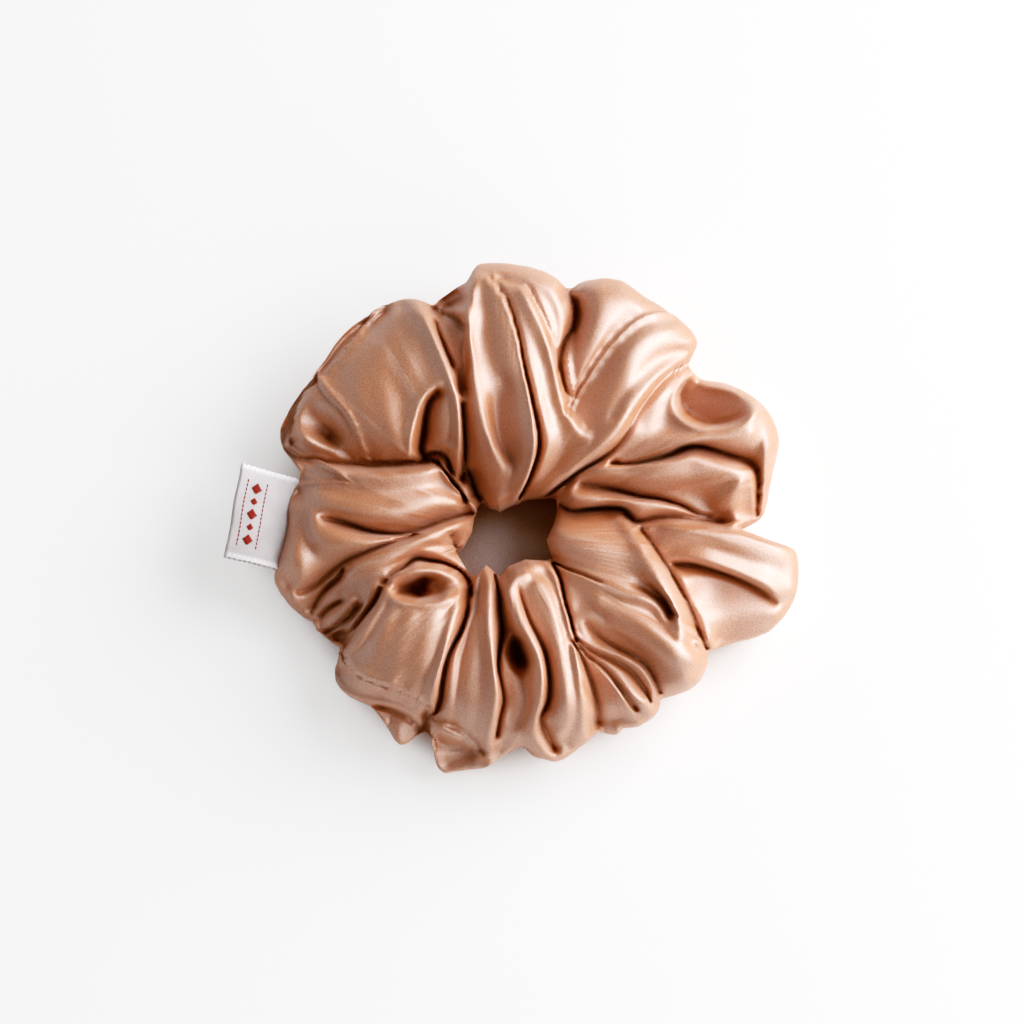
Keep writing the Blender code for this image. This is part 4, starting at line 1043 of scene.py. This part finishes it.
def yarn_material(name, light, dark):
    """Spun yarn: a little uneven in tone, with a soft fuzz of sheen."""
    tree = material_tree(name)
    fibres = tree.noise(tree.place(), scale=3000.0)
    return tree.principled(
        Base_Color=tree.mix(tree.remap(fibres), dark, light),
        Normal=tree.bump(fibres, strength=0.3, distance=0.00004),
        Roughness=0.55,
        Sheen_Weight=0.25,
    )


def ribbon_material():
    """Pale satin ribbon: very fine ribs, brighter woven edges."""
    tree = material_tree("label_ribbon")
    ribs = tree.add("TexWave", "Fac", wave_type="BANDS", bands_direction="Y", Scale=1.0,
                    Distortion=0.6, Detail=1.0, Vector=tree.cloth_uv(900, 900))
    grain = tree.noise(tree.cloth_uv(9000, 1600), scale=1.0)
    slow = tree.noise(tree.place(), scale=160.0)
    body = tree.mix(tree.remap(slow), (0.49, 0.445, 0.435), (0.575, 0.525, 0.513))
    across = tree.add("SeparateXYZ", "X", tree.cloth_uv(1, 1))
    side = tree.add("Math", "Value", across, operation="ABSOLUTE")
    color = tree.mix(tree.remap(side, over=(0.0088, 0.0095)), (0, 0, 0), (0.76, 0.71, 0.70))
    tree.set(color.node, A=body)     # the body's colour away from the edges
    rib_bump = tree.bump(ribs, strength=0.20, distance=0.00005)
    return tree.principled(
        Base_Color=color,
        Roughness=tree.remap(grain, to=(0.36, 0.52)),
        Normal=tree.bump(grain, strength=0.25, distance=0.00005, Normal=rib_bump),
        Sheen_Weight=0.3,
        Specular_IOR_Level=0.6,
    )


def elastic_material():
    """Off-white knitted elastic."""
    tree = material_tree("elastic_band")
    knit = tree.add("TexWave", "Fac", wave_type="BANDS", bands_direction="DIAGONAL", Scale=1.0,
                    Distortion=1.2, Detail=1.0, Vector=tree.cloth_uv(1500, 1500))
    grain = tree.noise(tree.place(), scale=2200.0)
    knit_bump = tree.bump(knit, strength=0.4, distance=0.00012)
    return tree.principled(
        Base_Color=tree.mix(tree.remap(grain), (0.62, 0.60, 0.56), (0.80, 0.78, 0.74)),
        Normal=tree.bump(grain, strength=0.3, distance=0.00008, Normal=knit_bump),
        Roughness=0.8,
    )


def floor_material():
    """Matt white paper with painted light: a glow seen only by the camera where it is open, so its
    shadows stay pale, and a painted dark brown shade where it is closed in, as in the hole.
    """
    tree = material_tree("floor")
    tree.nodes.clear()
    openness = tree.add("AmbientOcclusion", "AO", samples=8, Distance=0.06)
    # painted shade: the paper turns dark brown where ambient occlusion says it is closed in, as in the
    # hole
    deep = tree.remap(openness, over=(0.08, 0.34), interpolation_type="SMOOTHSTEP")
    color = tree.mix(deep, (0.33, 0.18, 0.115), (0.93, 0.91, 0.885))
    diffuse = tree.add("BsdfDiffuse", "BSDF", Color=color)
    # painted glow, seen only by camera rays where the floor is open, keeps its shadows pale
    painted_glow = tree.add("Emission", "Emission", Color=(1, 1, 1, 1), Strength=0.96)
    lift = tree.remap(openness, to=(0, 0.52), over=(0.22, 0.62), interpolation_type="SMOOTHSTEP")
    camera_ray = tree.add("LightPath", "Is Camera Ray")
    share = tree.add("Math", "Value", lift, camera_ray, operation="MULTIPLY")
    surface = tree.add("MixShader", "Shader", share, diffuse, painted_glow)
    tree.set(tree.nodes.new("ShaderNodeOutputMaterial"), Surface=surface)
    return tree.block


# ---- the pieces ----

def follow_ring(obj):
    """Bakes the piece's placement into its mesh."""
    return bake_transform(obj)


def follow_label(obj):
    """Bakes the ribbon's placement into its mesh."""
    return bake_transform(obj)


def dress(obj, material, slot, *replaced, follow=follow_ring):
    """Gives a piece its material, hides the frame pieces it replaces and bakes its placement through
    follow; slot is not used.
    """
    obj.data.materials.append(material)
    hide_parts(*replaced)
    follow(obj)


grid = relax(flatten_panels(cover_grid()), 2)
grid = grid + settle(grid)
grid[:, :, 2] = np.maximum(grid[:, :, 2], 0.15)
long_line = seam_line(grid, lengthwise_seam(), closed=True)
closing_line = seam_line(grid, closing_seam(), closed=False)
grid = press_seam(grid, *long_line)
grid = press_seam(grid, *closing_line)
cover = grid_mesh("fabric_cover", grid)
add_grid_uv(cover.data, grid)
dress(cover, satin_material(), "satin", "fabric_cover_held_half", "fabric_cover_pulled_half")

seam_thread = yarn_material("seam_thread", light=(0.46, 0.20, 0.10), dark=(0.33, 0.13, 0.06))
for seam_name, line, replaced in (
    ("lengthwise_seam_stitches", long_line,
     ("lengthwise_seam_thread_held", "lengthwise_seam_thread_pulled")),
    ("closing_seam_stitches", closing_line, ("closing_seam_thread",)),
):
    thread = thread_mesh(seam_name, stitches(grid, *line), STITCH_RADIUS)
    dress(thread, seam_thread, "seam_thread", *replaced)

dress(elastic_band(), elastic_material(), "elastic_band",
      "elastic_held_half", "elastic_pulled_half")
lap = thread_mesh("elastic_lap_stitches", lap_stitches(), radius=0.16)
white_thread = yarn_material("white_thread", light=(0.85, 0.84, 0.82), dark=(0.70, 0.69, 0.67))
dress(lap, white_thread, "white_thread", "elastic_joint_stitches")

dress(label_ribbon(), ribbon_material(), "label_ribbon", "label", follow=follow_label)
motif = thread_mesh("label_motif_threads", label_motif(), radius=0.10, sides=6)
motif.data.materials.append(
    yarn_material("motif_thread", light=(0.42, 0.028, 0.022), dark=(0.28, 0.015, 0.012)))
follow_label(motif)


# ---- floor, light, camera: in metres ----

def add_floor():
    bm = bmesh.new()
    bmesh.ops.create_grid(bm, x_segments=1, y_segments=1, size=6.0)
    floor = bmesh_object("floor", bm, outwards=False)
    floor.data.materials.append(floor_material())


def add_world():
    """A dim studio sky, brightest low down and dark overhead."""
    world = bpy.data.worlds.new("studio")
    bpy.context.scene.world = world
    tree = NodeTree(world)
    height = tree.add("SeparateXYZ", "Z", tree.add("TexCoord", "Generated"))
    color = tree.add("ValToRGB", "Color", Fac=height)
    stops = color.node.color_ramp.elements
    assign(stops[0], position=0.0, color=(1.0, 1.0, 1.0, 1))
    assign(stops[1], position=0.98, color=(0.08, 0.08, 0.08, 1))
    for position, grey in ((0.45, 1.0), (0.75, 0.6), (0.9, 0.15)):
        stops.new(position).color = (grey, grey, grey, 1)
    tree.set(tree.nodes["Background"], Color=color, Strength=0.18)


def area_light(name, position, size, power, color=(1, 1, 1), target=(0, 0, 0.01)):
    data = bpy.data.lights.new(name, "AREA")
    assign(data, energy=power, color=color, size=size)
    light = link_object(name, data)
    light.location = position
    aim = Vector(target) - Vector(position)
    light.rotation_euler = aim.to_track_quat("-Z", "Y").to_euler()


FRAME_WIDTH = 0.220215054            # what the camera sees across, at the ring
AIM_RIGHT, AIM_UP = -0.000322581, 0.005376344        # in the drawing plane


def add_camera():
    """Looks along the line of sight that the folds are drawn for."""
    data = bpy.data.cameras.new("camera")
    camera = link_object("camera", data)
    away = VIEW_DISTANCE / 1000
    target = Vector((AIM_RIGHT, 0, 0)) + Vector((0, VIEW_SIN, VIEW_COS)) * AIM_UP
    camera.location = target + Vector((0, -VIEW_COS, VIEW_SIN)) * away
    camera.rotation_euler = (math.radians(90) - VIEW_ANGLE, 0, 0)
    data.sensor_width = 36.0
    data.lens = data.sensor_width / FRAME_WIDTH * away
    data.clip_start, data.clip_end = 0.05, 20.0
    bpy.context.scene.camera = camera


# points added to the display curves, as (in, out); curve 3 is the combined one
RED, BLUE, COMBINED = 0, 2, 3
CURVES = {
    COMBINED: ((0.03, 0.013), (0.10, 0.076), (0.20, 0.200), (0.35, 0.415), (0.60, 0.700)),
    RED: ((0.02, 0.032), (0.08, 0.098), (0.21, 0.232), (0.34, 0.342), (0.60, 0.60)),
    BLUE: ((0.010, 0.003), (0.042, 0.028), (0.063, 0.051), (0.12, 0.113), (0.25, 0.25),
           (0.60, 0.60)),
}


def set_display():
    """A plain display transform with a soft contrast curve, and warm dark tones."""
    view = bpy.context.scene.view_settings
    view.view_transform = "Standard"
    view.use_curve_mapping = True
    curves = view.curve_mapping.curves
    for channel, points in CURVES.items():
        for x, y in points:
            curves[channel].points.new(x, y)
    curves[COMBINED].points[-1].location = (1.0, 0.975)
    view.curve_mapping.update()


add_floor()
add_world()
area_light("key", (0.80, 0.32, 0.64), size=1.0, power=19.5, color=(0.965, 0.99, 1.035))
area_light("fill", (0.55, -0.62, 0.50), size=0.70, power=3.3)
area_light("left", (-0.86, 0.10, 0.36), size=0.80, power=1.1, target=(0, 0, 0.012))
add_camera()
set_display()
